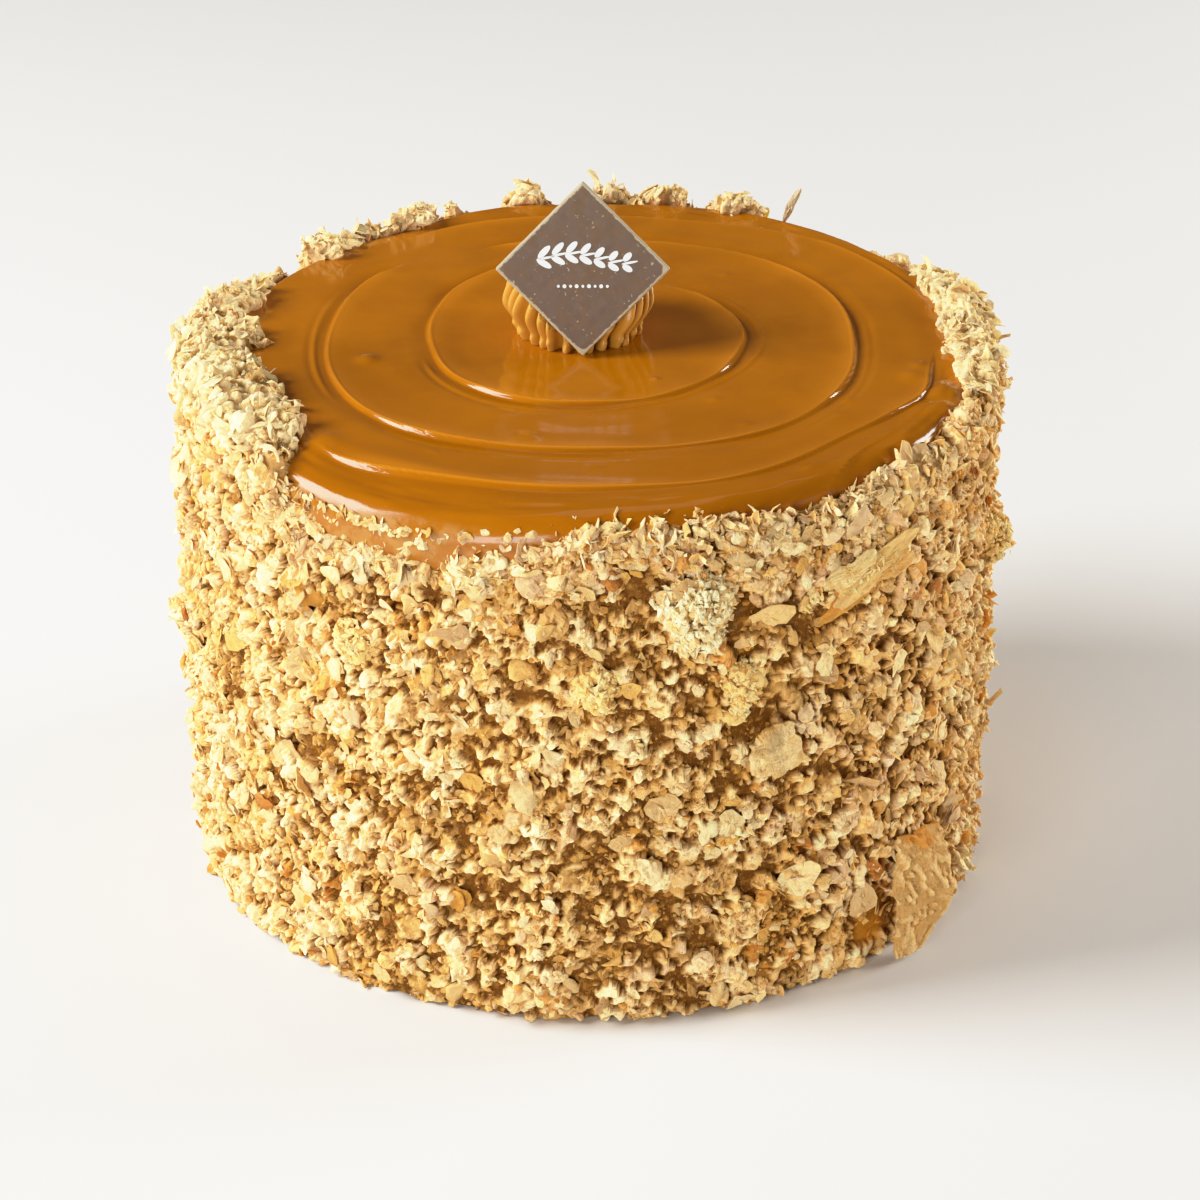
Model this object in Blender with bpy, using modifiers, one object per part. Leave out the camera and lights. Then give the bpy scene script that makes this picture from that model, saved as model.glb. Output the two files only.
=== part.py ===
"""Round layered cake coated in caramel and rolled in pastry crumbs and flakes.

Parts, each one closed solid with a small gap to its neighbours:
cake          the crumb-coated body that stands on the floor
icing_top     the poured caramel disc with its spatula swirl and the crumbs on its rim
rosette       the ribbed piped caramel swirl in the middle
plaque        the square chocolate plate that stands on one corner against the rosette
clump_* and flake_*   the largest pastry pieces stuck to the side
Lengths are metres, +Z is up, the front of the cake looks towards -Y.
"""
import math
import random

import bmesh
import bpy
from mathutils import Matrix, Vector, noise
from mathutils.geometry import delaunay_2d_cdt

# Body
CORE_RADIUS = 0.0985
CORE_FOOT_RADIUS = 0.0965
CORE_TOP_RADIUS = 0.0955
CORE_HEIGHT = 0.130
CORE_STEPS = 76
CORE_ROWS = 13
CORE_ROUND = 0.004
BUMP_OUT = 0.0034
BUMP_IN = 0.0026

# Slumped upper edge at the back left: first and last angle, fade, amount, lower end and rise
SLUMP_FIRST = 100.0
SLUMP_LAST = 180.0
SLUMP_FADE = 26.0
SLUMP = 0.0066
SLUMP_LOW = 0.040
SLUMP_RISE = 0.092

# Caramel disc
GAP = 0.0003
ICING_TOP = 0.1353
ICING_RADIUS = 0.0965
ICING_EDGE_WAVE = 0.0005
ICING_EDGE_DROP = 0.0042
ICING_EDGE_ROUND = 0.0090
ICING_DOME = 0.0006
ICING_CENTRE_DIP = 0.0004
ICING_DIP_RADIUS = 0.0200
OUTLINE_STEP = 6

# Swirl left by the spatula: radii of its turns and the shape of the ridge
TURN_INNER = 0.0389
TURN_SWING = 0.0240
TURN_MIDDLE = 0.0670
TURN_OUTER = 0.0853
TURN_BACK = 0.0905
TURN_FOLD = 0.0910
SWING_START = 195.0
SWING_ARC = 150.0
RIDGE_HEIGHT = 0.0013
RIDGE_TROUGH = 0.0009
RIDGE_INSIDE = 0.0110
RIDGE_DROP = 0.0015
RIDGE_OUTSIDE = 0.0085
RIDGE_STEP = 7.5
RIDGE_FADE = 14.0

# Points laid over the caramel between the ridges: rings near the edge and rings of the field
EDGE_RINGS = (0.0945, 0.0905)
EDGE_RING_STEP = 8
EDGE_SPACING = 0.0026
FIELD_RINGS = (0.0, 0.012, 0.022, 0.030, 0.047, 0.054, 0.060, 0.074, 0.080)
FIELD_STEP = 0.0095
FIELD_SPACING = 0.0034

# Piped rosette
ROSETTE_X = -0.0023
ROSETTE_Y = 0.0062
ROSETTE_BASE = 0.0142
ROSETTE_RADIUS = 0.0178
ROSETTE_HEIGHT = 0.0235
ROSETTE_RIBS = 28
ROSETTE_ROWS = 7
ROSETTE_RIB_DEPTH = 0.06
ROSETTE_TWIST = 0.30
ROSETTE_BELLY = 0.36
ROSETTE_TIP = 0.0012

# Chocolate plaque
PLAQUE_SIDE = 0.0304
PLAQUE_THICK = 0.0024
PLAQUE_BEVEL = 0.0004
PLAQUE_LEAN = 15.0
PLAQUE_FOOT_X = -0.0012
PLAQUE_FOOT_Y = -0.0112
CUTTER_REACH = 0.0200

# Crumbs and flakes fused to the body
CRUMB_ROWS = 8
CRUMB_COLUMNS = 17
CRUMB_LOW = 0.0050
CRUMB_HIGH = 0.1290
CRUMB_SMALL = 0.0044
CRUMB_LARGE = 0.0070
CRUMB_SINK = 0.0004
FLOOR_CLEAR = 0.0008
SEAM_CLEAR = 0.0003
SEED = 7

# Heaps of crumbs over the rim of the caramel disc: angle, reach inwards, height, count
RIM_HEAPS = (
    ("left lobe", 178.0, 0.0160, 0.0062, 3),
    ("left heap", -165.0, 0.0185, 0.0068, 4),
    ("left front heap", -151.0, 0.0160, 0.0064, 3),
    ("front left heap", -141.0, 0.0080, 0.0048, 2),
    ("left back heap", 167.0, 0.0080, 0.0056, 3),
    ("left back ridge", 154.0, 0.0030, 0.0034, 2),
    ("back left clump", 139.5, 0.0055, 0.0056, 2),
    ("back left ridge", 121.0, 0.0042, 0.0044, 2),
    ("back peak", 100.5, 0.0038, 0.0048, 1),
    ("back crumbs", 87.0, 0.0030, 0.0046, 2),
    ("back right peak", 67.0, 0.0036, 0.0044, 2),
    ("right back heap", 20.0, 0.0050, 0.0048, 3),
    ("right heap", 8.0, 0.0085, 0.0058, 3),
    ("right side heap", -5.0, 0.0060, 0.0048, 3),
)

RIM_STEP = 4.4
RIM_OUTER = 0.0078

# Largest pastry pieces on the side: angle, height, width, tall, thick, turn, raggedness
SIDE_PIECES = (
    ("clump_pale", -76.5, 0.1100, 0.0190, 0.0200, 0.0100, 0.0, 0.26, 3),
    ("flake_pile", -51.5, 0.1120, 0.0300, 0.0110, 0.0080, 24.0, 0.20, 2),
    ("flake_round", -64.6, 0.0708, 0.0125, 0.0125, 0.0046, 0.0, 0.10, 2),
    ("flake_tall", -69.2, 0.0885, 0.0085, 0.0170, 0.0060, -6.0, 0.16, 2),
    ("clump_front", -88.5, 0.0915, 0.0110, 0.0130, 0.0070, 0.0, 0.22, 2),
    ("clump_left", -122.5, 0.0965, 0.0120, 0.0110, 0.0068, 0.0, 0.20, 2),
    ("clump_right", -13.0, 0.0920, 0.0140, 0.0150, 0.0110, 0.0, 0.24, 2),
)

# Pastry sheet that leans on the lower right of the side: widest a little below its middle,
# pointed at both ends, its foot drawn to one side
SHEET_ANGLE = -37.5
SHEET_WIDTH = 0.0190
SHEET_TALL = 0.0312
SHEET_THICK = 0.0030
SHEET_FOOT_RADIUS = 0.1083
SHEET_TOP_RADIUS = 0.1044
SHEET_FLARE = 0.14
SHEET_WIDEST = 0.42
SHEET_HALF_SPAN = 0.62
SHEET_POINT = 0.16
SHEET_TIP = 0.08
SHEET_FOOT_SHIFT = 0.0112
SHEET_FOOT_SHARE = 0.20
SHEET_SHIFT = -0.0009
SHEET_TOP_SHIFT = 0.0014
SHEET_TOP_SHARE = 0.35
SHEET_ROUGH = 0.0006
SHEET_COLUMNS = 5
SHEET_ROWS = 9

# Bumps of the body: grain of the noise round and along the side, and what stays smooth about a piece
BUMP_GRAIN_ROUND = 5.0
BUMP_GRAIN_HIGH = 60.0
BUMP_COARSE = 0.5
BUMP_SPARE = 0.0090

# Crumbs: limits of the random stretch, and a flake's taper, depth and sides
FLAKE_SIDES = 6
FLAKE_TAPER = 0.86
FLAKE_DEPTH = 0.62
VERTEX_STRETCH = (0.80, 1.18)
WIDE_STRETCH = (0.80, 1.25)
DEEP_STRETCH = (0.80, 1.10)
HIGH_STRETCH = (0.75, 1.10)
SIDE_LEAN = 0.45
RIM_LEAN = 0.60
CELL_JITTER = 0.30
ROW_JITTER = 0.32
SIDE_FLAKE_SHARE = 0.55
RIM_FLAKE_SHARE = 0.40
LARGEST_REACH = 1.35

# Heaps on the rim: how far out they start, how deep a crumb sits, and the crumb behind it
RIM_OUT = 0.0024
RIM_SINK = 0.95
RIM_NEAREST = 0.2
OUTER_OUT = 0.0010
OUTER_TURN = 2.0
OUTER_SIZE = 0.85

# Roughness of a large piece: grain and share of its two noises, jitter, and its flat back
PIECE_GRAINS = (1.7, 3.9)
PIECE_FINE = 0.6
PIECE_ROUGH = 1.6
PIECE_JITTER = 0.35
PIECE_DOME = 0.50
PIECE_REST = 0.42

PIECE_BACK = 0.00050
KEEP_OUT = 0.0030
SCRAP_WELD = 0.000001
SMOOTH_ANGLE = 32.0
COLLECTION_NAME = "crumb_coated_cake"


def clear_scene():
    """Remove every object that the file opens with."""
    for item in list(bpy.data.objects):
        bpy.data.objects.remove(item, do_unlink=True)


def linear(value):
    """Turn one display channel from 0 to 255 into a linear value."""
    part = value / 255.0
    if part <= 0.04045:
        return part / 12.92
    return ((part + 0.055) / 1.055) ** 2.4


def make_material(name, red, green, blue, roughness):
    """Return a plain food material of the given display colour."""
    material = bpy.data.materials.new(name)
    material.use_nodes = True
    shader = material.node_tree.nodes["Principled BSDF"]
    colour = (linear(red), linear(green), linear(blue), 1.0)
    shader.inputs["Base Color"].default_value = colour
    shader.inputs["Roughness"].default_value = roughness
    shader.inputs["Metallic"].default_value = 0.0
    material.diffuse_color = colour
    return material


def make_object(name, bm, collection, material=None):
    """Turn a bmesh into a named object in the collection."""
    mesh = bpy.data.meshes.new(name)
    bmesh.ops.recalc_face_normals(bm, faces=bm.faces)
    if bm.calc_volume(signed=True) < 0.0:
        bmesh.ops.reverse_faces(bm, faces=bm.faces)
    bm.to_mesh(mesh)
    bm.free()
    item = bpy.data.objects.new(name, mesh)
    collection.objects.link(item)
    if material is not None:
        mesh.materials.append(material)
    return item


def face_outwards(item):
    """Split the faces of an object into triangles and turn them outwards."""
    bm = bmesh.new()
    bm.from_mesh(item.data)
    bmesh.ops.recalc_face_normals(bm, faces=bm.faces)
    bmesh.ops.triangulate(bm, faces=bm.faces)
    bm.to_mesh(item.data)
    bm.free()


def smooth(item):
    """Shade an object smooth apart from its sharp edges."""
    item.data.shade_smooth()
    item.data.set_sharp_from_angle(angle=math.radians(SMOOTH_ANGLE))


def apply_modifiers(item):
    """Bake the modifiers of an object into its mesh."""
    bpy.context.view_layer.update()
    graph = bpy.context.evaluated_depsgraph_get()
    mesh = bpy.data.meshes.new_from_object(item.evaluated_get(graph))
    old = item.data
    item.modifiers.clear()
    item.data = mesh
    bpy.data.meshes.remove(old)


def lathe(name, profile, steps, collection, material=None):
    """Turn a radius and height profile, listed top to bottom, into a solid."""
    bm = bmesh.new()
    points = [bm.verts.new((radius, 0.0, height)) for radius, height in profile]
    for first, second in zip(points, points[1:]):
        bm.edges.new((first, second))
    mesh = bpy.data.meshes.new(name)
    bm.to_mesh(mesh)
    bm.free()
    item = bpy.data.objects.new(name, mesh)
    collection.objects.link(item)
    if material is not None:
        mesh.materials.append(material)
    screw = item.modifiers.new("Turn", "SCREW")
    screw.axis = "Z"
    screw.angle = math.tau
    screw.steps = steps
    screw.render_steps = steps
    screw.use_merge_vertices = True
    screw.merge_threshold = 0.00001
    apply_modifiers(item)
    return item


def smoothstep(value):
    """Ease a value from 0 to 1."""
    part = min(max(value, 0.0), 1.0)
    return part * part * (3.0 - 2.0 * part)


def turn_between(angle, other):
    """Return the signed turn in degrees from one angle to another."""
    return (angle - other + 180.0) % 360.0 - 180.0


def swell(angle, middle, width):
    """Return a soft bell of height 1 round a middle angle."""
    return math.exp(-(((angle - middle) / width) ** 2))


def inner_turn(angle):
    """Radius of the first turn, which swings out to the second as the angle falls."""
    oval = 0.0009 * math.cos(math.radians(2.0 * (angle - 240.0)))
    return TURN_INNER + TURN_SWING * smoothstep((SWING_START - angle) / SWING_ARC) + oval


def middle_turn(angle):
    """Radius of the second turn, a little squarish and wider at the right."""
    square = -0.0018 * math.cos(math.radians(4.0 * angle))
    return TURN_MIDDLE + square + 0.0008 * math.cos(math.radians(angle - 20.0))


def outer_turn(angle):
    """Radius of the third turn along the front, with its curl at the left."""
    out = 0.0030 * swell(angle, -130.0, 14.0) + 0.0014 * swell(angle, -70.0, 9.0)
    dip = 0.0020 * swell(angle, -44.0, 10.0)
    return TURN_OUTER + out - dip + 0.0018 * swell(angle, -21.0, 6.0)


def fold_turn(angle):
    """Radius of the short fold near the edge at the front right."""
    return TURN_FOLD + 0.0060 * smoothstep((-43.0 - angle) / 14.0)


def back_turn(angle):
    """Radius of the third turn round the back and right."""
    fall = smoothstep((angle - 45.0) / 32.0)
    rise = smoothstep((45.0 - angle) / 35.0)
    return TURN_BACK - 0.0065 * fall - 0.0016 * rise


# Each arc of the swirl: radius rule, first and last angle, share of the full ridge
SWIRL = (
    (inner_turn, 82.0, 425.0, 1.00),
    (middle_turn, -228.0, 118.0, 1.00),
    (outer_turn, -139.0, -4.0, 0.90),
    (back_turn, 12.0, 128.0, 0.75),
    (fold_turn, -62.0, -34.0, 0.80),
)


def ridge_profile(offset):
    """Height of one ridge at an offset outwards from its crest."""
    if offset < -RIDGE_INSIDE or offset > RIDGE_OUTSIDE:
        return 0.0
    if offset <= 0.0:
        return RIDGE_HEIGHT * (1.0 + offset / RIDGE_INSIDE) ** 2
    if offset <= RIDGE_DROP:
        share = offset / RIDGE_DROP
        return RIDGE_HEIGHT - (RIDGE_HEIGHT + RIDGE_TROUGH) * share
    share = (offset - RIDGE_DROP) / (RIDGE_OUTSIDE - RIDGE_DROP)
    return -RIDGE_TROUGH * (1.0 - smoothstep(share))


def arc_weight(angle, first, last):
    """Fade an arc in and out over its last degrees."""
    rise = smoothstep((angle - first) / RIDGE_FADE)
    return rise * smoothstep((last - angle) / RIDGE_FADE)


def slump(angle, height):
    """How far the body leans in at a place of its side."""
    there = angle % 360.0
    window = smoothstep((there - SLUMP_FIRST) / SLUMP_FADE) * smoothstep((SLUMP_LAST - there) / SLUMP_FADE)
    return SLUMP * window * smoothstep((height - SLUMP_LOW) / SLUMP_RISE)


def edge_radius(angle):
    """Radius of the caramel disc, slightly wavy."""
    wave = math.sin(math.radians(3.0 * angle + 40.0)) + 0.6 * math.sin(math.radians(7.0 * angle))
    return ICING_RADIUS + ICING_EDGE_WAVE * wave - slump(angle, ICING_TOP)


def icing_height(x, y):
    """Height of the caramel top over a point of the plane."""
    radius = math.hypot(x, y)
    angle = math.degrees(math.atan2(y, x))
    height = ICING_TOP + ICING_DOME * (1.0 - (radius / ICING_RADIUS) ** 2)
    height -= ICING_CENTRE_DIP * math.exp(-((radius / ICING_DIP_RADIUS) ** 2))
    swirl = 0.0
    for rule, first, last, share in SWIRL:
        for turn in (-360.0, 0.0, 360.0):
            there = angle + turn
            if first <= there <= last:
                weight = share * arc_weight(there, first, last)
                part = weight * ridge_profile(radius - rule(there))
                if abs(part) > abs(swirl):
                    swirl = part
    rim = edge_radius(angle)
    inside = max(0.0, radius - (rim - ICING_EDGE_ROUND)) / ICING_EDGE_ROUND
    fall = ICING_EDGE_DROP * (1.0 - math.sqrt(max(0.0, 1.0 - min(inside, 1.0) ** 2.4)))
    return height + swirl * (1.0 - smoothstep(inside)) - fall


def polar(radius, angle):
    """Return the plane point at a radius and an angle in degrees."""
    return Vector((radius * math.cos(math.radians(angle)), radius * math.sin(math.radians(angle))))


class PlanePoints:
    """Points and edges of the caramel top that the triangulation has to keep."""

    def __init__(self):
        self.points = []
        self.edges = []

    def add_chain(self, places, closed=False):
        """Add a row of points joined one to the next."""
        start = len(self.points)
        self.points.extend(places)
        for index in range(start, len(self.points) - 1):
            self.edges.append((index, index + 1))
        if closed:
            self.edges.append((len(self.points) - 1, start))

    def add_loose(self, place, spacing):
        """Add one free point unless another lies too close."""
        for other in self.points:
            if (other - place).length < spacing:
                return
        self.points.append(place)


def swirl_points():
    """Lay points along the crests and troughs, then fill the plane between them."""
    plane = PlanePoints()
    outline = [polar(edge_radius(angle), angle) for angle in range(0, 360, OUTLINE_STEP)]
    plane.add_chain(outline, closed=True)
    for rule, first, last, _share in SWIRL:
        count = int((last - first - RIDGE_FADE) / RIDGE_STEP)
        start = 0.5 * (first + last - RIDGE_STEP * count)
        angles = [start + RIDGE_STEP * index for index in range(count + 1)]
        for offset in (0.0, RIDGE_DROP):
            plane.add_chain([polar(rule(angle) + offset, angle) for angle in angles])
    for radius in EDGE_RINGS:
        for angle in range(0, 360, EDGE_RING_STEP):
            inwards = slump(angle + 3.0, ICING_TOP)
            plane.add_loose(polar(radius - inwards, angle + 3.0), EDGE_SPACING)
    for radius in FIELD_RINGS:
        count = max(1, int(math.tau * radius / FIELD_STEP))
        for index in range(count):
            plane.add_loose(polar(radius, index * 360.0 / count + 5.0), FIELD_SPACING)
    return plane


def make_icing(collection):
    """Build the caramel disc: relief on top, straight lip, flat underside."""
    plane = swirl_points()
    result = delaunay_2d_cdt(plane.points, plane.edges, [], 1, 0.00001)
    places, faces = result[0], result[2]
    bm = bmesh.new()
    verts = [bm.verts.new((place.x, place.y, icing_height(place.x, place.y))) for place in places]
    for face in faces:
        bm.faces.new([verts[index] for index in face])
    border = [edge for edge in bm.edges if edge.is_boundary]
    under = bmesh.ops.extrude_edge_only(bm, edges=border)
    lowered = [part for part in under["geom"] if isinstance(part, bmesh.types.BMVert)]
    for vert in lowered:
        vert.co.z = CORE_HEIGHT + GAP
    rest = [edge for edge in bm.edges if edge.is_boundary]
    bmesh.ops.contextual_create(bm, geom=rest)
    return make_object("icing_top", bm, collection)


def near_piece(angle, height, spare):
    """Tell whether a place on the side lies under one of the large pieces."""
    for _name, at, level, width, tall, _thick, _turn, _ragged, _detail in SIDE_PIECES:
        across = math.radians(turn_between(angle, at)) * CORE_RADIUS
        along = height - level
        reach = max(width, tall) * 0.5
        if math.hypot(across, along) < reach + spare:
            return True
    across = math.radians(turn_between(angle, SHEET_ANGLE)) * CORE_RADIUS
    inside = abs(across) < SHEET_WIDTH * 0.5 + SHEET_TOP_SHIFT + spare
    return inside and height < SHEET_TALL + spare


def bump(angle, height, rng):
    """Radial bump of the crumb coat at one point of the body."""
    place = polar(1.0, angle)
    coarse = noise.noise(Vector((
        place.x * BUMP_GRAIN_ROUND, place.y * BUMP_GRAIN_ROUND, height * BUMP_GRAIN_HIGH)))
    value = BUMP_COARSE * coarse + rng.uniform(-0.5, 0.5)
    if near_piece(angle, height, BUMP_SPARE):
        return 0.0
    return BUMP_OUT * value * 2.0 if value > 0.0 else BUMP_IN * value * 2.0


def make_core(collection, rng):
    """Turn the body and roughen its side into low crumb-sized bumps."""
    rows = []
    side = CORE_HEIGHT - 2.0 * CORE_ROUND
    for index in range(CORE_ROWS):
        rows.append((CORE_RADIUS, CORE_HEIGHT - CORE_ROUND - side * index / (CORE_ROWS - 1)))
    profile = [(0.0, CORE_HEIGHT), (CORE_TOP_RADIUS, CORE_HEIGHT)]
    profile += rows
    profile += [(CORE_FOOT_RADIUS, 0.0), (0.0, 0.0)]
    item = lathe("cake", profile, CORE_STEPS, collection)
    for vert in item.data.vertices:
        radius = math.hypot(vert.co.x, vert.co.y)
        if radius > CORE_TOP_RADIUS - 0.0005:
            angle = math.degrees(math.atan2(vert.co.y, vert.co.x))
            grown = radius - slump(angle, vert.co.z)
            if radius > CORE_RADIUS - 0.0005:
                grown += bump(angle, vert.co.z, rng)
            vert.co.x *= grown / radius
            vert.co.y *= grown / radius
    face_outwards(item)
    return item


def crumb_mesh(rng, half, flat):
    """Return a bmesh of one crumb, or of one flake when flat is set."""
    bm = bmesh.new()
    if flat:
        bmesh.ops.create_cone(
            bm, cap_ends=True, cap_tris=True, segments=FLAKE_SIDES,
            radius1=1.0, radius2=FLAKE_TAPER, depth=FLAKE_DEPTH)
    else:
        bmesh.ops.create_icosphere(bm, subdivisions=1, radius=1.0)
    for vert in bm.verts:
        vert.co *= rng.uniform(*VERTEX_STRETCH)
    stretch = Vector((
        rng.uniform(*WIDE_STRETCH), rng.uniform(*DEEP_STRETCH), rng.uniform(*HIGH_STRETCH)))
    for vert in bm.verts:
        vert.co = Vector(part * size * half for part, size in zip(vert.co, stretch))
    bmesh.ops.triangulate(bm, faces=bm.faces)
    return bm


def place_crumb(bm, rng, angle, radius, height, flat, tilt):
    """Turn a crumb to face outwards at its place on the body."""
    spin = Matrix.Rotation(rng.uniform(0.0, math.tau), 4, "Z")
    lean = Matrix.Rotation(rng.uniform(-tilt, tilt), 4, "X")
    face = Matrix.Rotation(math.radians(90.0), 4, "Y") if flat else Matrix.Identity(4)
    turn = Matrix.Rotation(math.radians(angle), 4, "Z")
    spot = polar(radius - slump(angle, height), angle)
    move = Matrix.Translation(Vector((spot.x, spot.y, height)))
    bmesh.ops.transform(bm, matrix=move @ turn @ lean @ face @ spin, verts=bm.verts)


def fit_between(bm, low, high):
    """Flatten a crumb if it is too tall, then shift it to lie between two heights."""
    bottom = min(vert.co.z for vert in bm.verts)
    top = max(vert.co.z for vert in bm.verts)
    scale = min(1.0, (high - low) / (top - bottom))
    middle = 0.5 * (bottom + top)
    half = 0.5 * (top - bottom) * scale
    shift = min(max(middle, low + half), high - half)
    for vert in bm.verts:
        vert.co.z = shift + (vert.co.z - middle) * scale


def side_crumbs(collection, rng):
    """Scatter crumbs and flakes over the side, one in each cell of a jittered grid."""
    spacing = (CRUMB_HIGH - CRUMB_LOW) / CRUMB_ROWS
    for row in range(CRUMB_ROWS):
        shift = 0.5 * (row % 2)
        for column in range(CRUMB_COLUMNS):
            half = rng.uniform(CRUMB_SMALL, CRUMB_LARGE)
            cell = column + shift + 0.5 + rng.uniform(-CELL_JITTER, CELL_JITTER)
            angle = cell * 360.0 / CRUMB_COLUMNS
            height = CRUMB_LOW + spacing * (row + 0.5 + rng.uniform(-ROW_JITTER, ROW_JITTER))
            flat = rng.random() < SIDE_FLAKE_SHARE
            if near_piece(angle, height, half * LARGEST_REACH + KEEP_OUT * 0.5):
                continue
            bm = crumb_mesh(rng, half, flat)
            place_crumb(bm, rng, angle, CORE_RADIUS + CRUMB_SINK, height, flat, SIDE_LEAN)
            fit_between(bm, FLOOR_CLEAR, CORE_HEIGHT - SEAM_CLEAR * 2.0)
            make_object("crumb_%02d_%02d" % (row, column), bm, collection)


def rim_crumbs(collection, rng):
    """Heap crumbs over the rim of the caramel disc."""
    low = CORE_HEIGHT + GAP + SEAM_CLEAR
    for name, at, reach, height, count in RIM_HEAPS:
        for index in range(count):
            share = (index + 0.5) / count
            half = rng.uniform(CRUMB_SMALL, CRUMB_LARGE)
            angle = at + (share - 0.5) * RIM_STEP * count
            inwards = reach * rng.uniform(RIM_NEAREST, 1.0)
            radius = ICING_RADIUS + RIM_OUT - inwards
            level = ICING_TOP + height - half * RIM_SINK
            flat = rng.random() < RIM_FLAKE_SHARE
            bm = crumb_mesh(rng, half, flat)
            place_crumb(bm, rng, angle, radius, level, flat, RIM_LEAN)
            fit_between(bm, low, ICING_TOP + height)
            make_object("%s %d" % (name, index), bm, collection)
            if inwards > RIM_OUTER:
                extra = crumb_mesh(rng, half * OUTER_SIZE, False)
                place_crumb(
                    extra, rng, angle + OUTER_TURN, ICING_RADIUS + OUTER_OUT, level, False, RIM_LEAN)
                fit_between(extra, low, ICING_TOP + height)
                make_object("%s outer %d" % (name, index), extra, collection)


def keep_largest(item):
    """Drop loose scraps and sealed hollows, so that one closed body is left."""
    bm = bmesh.new()
    bm.from_mesh(item.data)
    bmesh.ops.remove_doubles(bm, verts=bm.verts, dist=SCRAP_WELD)
    seen = set()
    groups = []
    for start in bm.verts:
        if start in seen:
            continue
        group = []
        queue = [start]
        seen.add(start)
        while queue:
            vert = queue.pop()
            group.append(vert)
            for edge in vert.link_edges:
                other = edge.other_vert(vert)
                if other not in seen:
                    seen.add(other)
                    queue.append(other)
        groups.append(group)
    groups.sort(key=len)
    for group in groups[:-1]:
        bmesh.ops.delete(bm, geom=group, context="VERTS")
    bmesh.ops.triangulate(bm, faces=bm.faces)
    bm.to_mesh(item.data)
    bm.free()


def fuse(item, toppings):
    """Join every object of a collection to a body by one Boolean union."""
    union = item.modifiers.new("Join crumbs", "BOOLEAN")
    union.operation = "UNION"
    union.operand_type = "COLLECTION"
    union.collection = toppings
    union.solver = "MANIFOLD"
    apply_modifiers(item)
    for crumb in list(toppings.objects):
        bpy.data.objects.remove(crumb, do_unlink=True)
    bpy.data.collections.remove(toppings)
    keep_largest(item)


def make_cake(collection, material, rng):
    """Build the body with its fused crumbs."""
    item = make_core(collection, rng)
    toppings = bpy.data.collections.new("side_crumbs")
    bpy.context.scene.collection.children.link(toppings)
    side_crumbs(toppings, rng)
    fuse(item, toppings)
    item.data.materials.clear()
    item.data.materials.append(material)
    return item


def make_icing_top(collection, material, rng):
    """Build the caramel disc with the crumbs on its rim."""
    item = make_icing(collection)
    toppings = bpy.data.collections.new("rim_crumbs")
    bpy.context.scene.collection.children.link(toppings)
    rim_crumbs(toppings, rng)
    fuse(item, toppings)
    item.data.materials.clear()
    item.data.materials.append(material)
    smooth(item)
    return item


def plaque_matrix():
    """Place of the plaque: standing on a corner and leaning back."""
    corner = PLAQUE_SIDE / math.sqrt(2.0)
    lean = Matrix.Rotation(math.radians(-PLAQUE_LEAN), 4, "X")
    quarter = Matrix.Rotation(math.radians(45.0), 4, "Y")
    foot = Vector((PLAQUE_FOOT_X, PLAQUE_FOOT_Y, ICING_TOP + ICING_DOME + GAP))
    return Matrix.Translation(foot) @ lean @ Matrix.Translation((0.0, 0.0, corner)) @ quarter


def plate(name, side, thick, bevel, collection):
    """Build a square plate with softened edges at the plaque's place."""
    bm = bmesh.new()
    bmesh.ops.create_cube(bm, size=1.0)
    bmesh.ops.scale(bm, vec=(side, thick, side), verts=bm.verts)
    if bevel > 0.0:
        bmesh.ops.bevel(bm, geom=bm.edges[:], offset=bevel, segments=1, affect="EDGES")
    bmesh.ops.transform(bm, matrix=plaque_matrix(), verts=bm.verts)
    return make_object(name, bm, collection)


def rosette_profile():
    """Radius and height of the rosette from its tip down to its foot."""
    rows = [(0.0, ROSETTE_HEIGHT)]
    for index in range(1, ROSETTE_ROWS + 1):
        share = index / ROSETTE_ROWS
        height = ROSETTE_HEIGHT * (1.0 - share) ** 1.15
        level = height / ROSETTE_HEIGHT
        above = max(0.0, level - ROSETTE_BELLY) / (1.0 - ROSETTE_BELLY)
        belly = math.sqrt(max(0.0, 1.0 - above ** 2))
        foot = smoothstep(level / ROSETTE_BELLY)
        radius = (ROSETTE_BASE + (ROSETTE_RADIUS - ROSETTE_BASE) * foot) * belly
        rows.append((max(radius, ROSETTE_TIP), height))
    rows.append((0.0, 0.0))
    return rows


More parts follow.
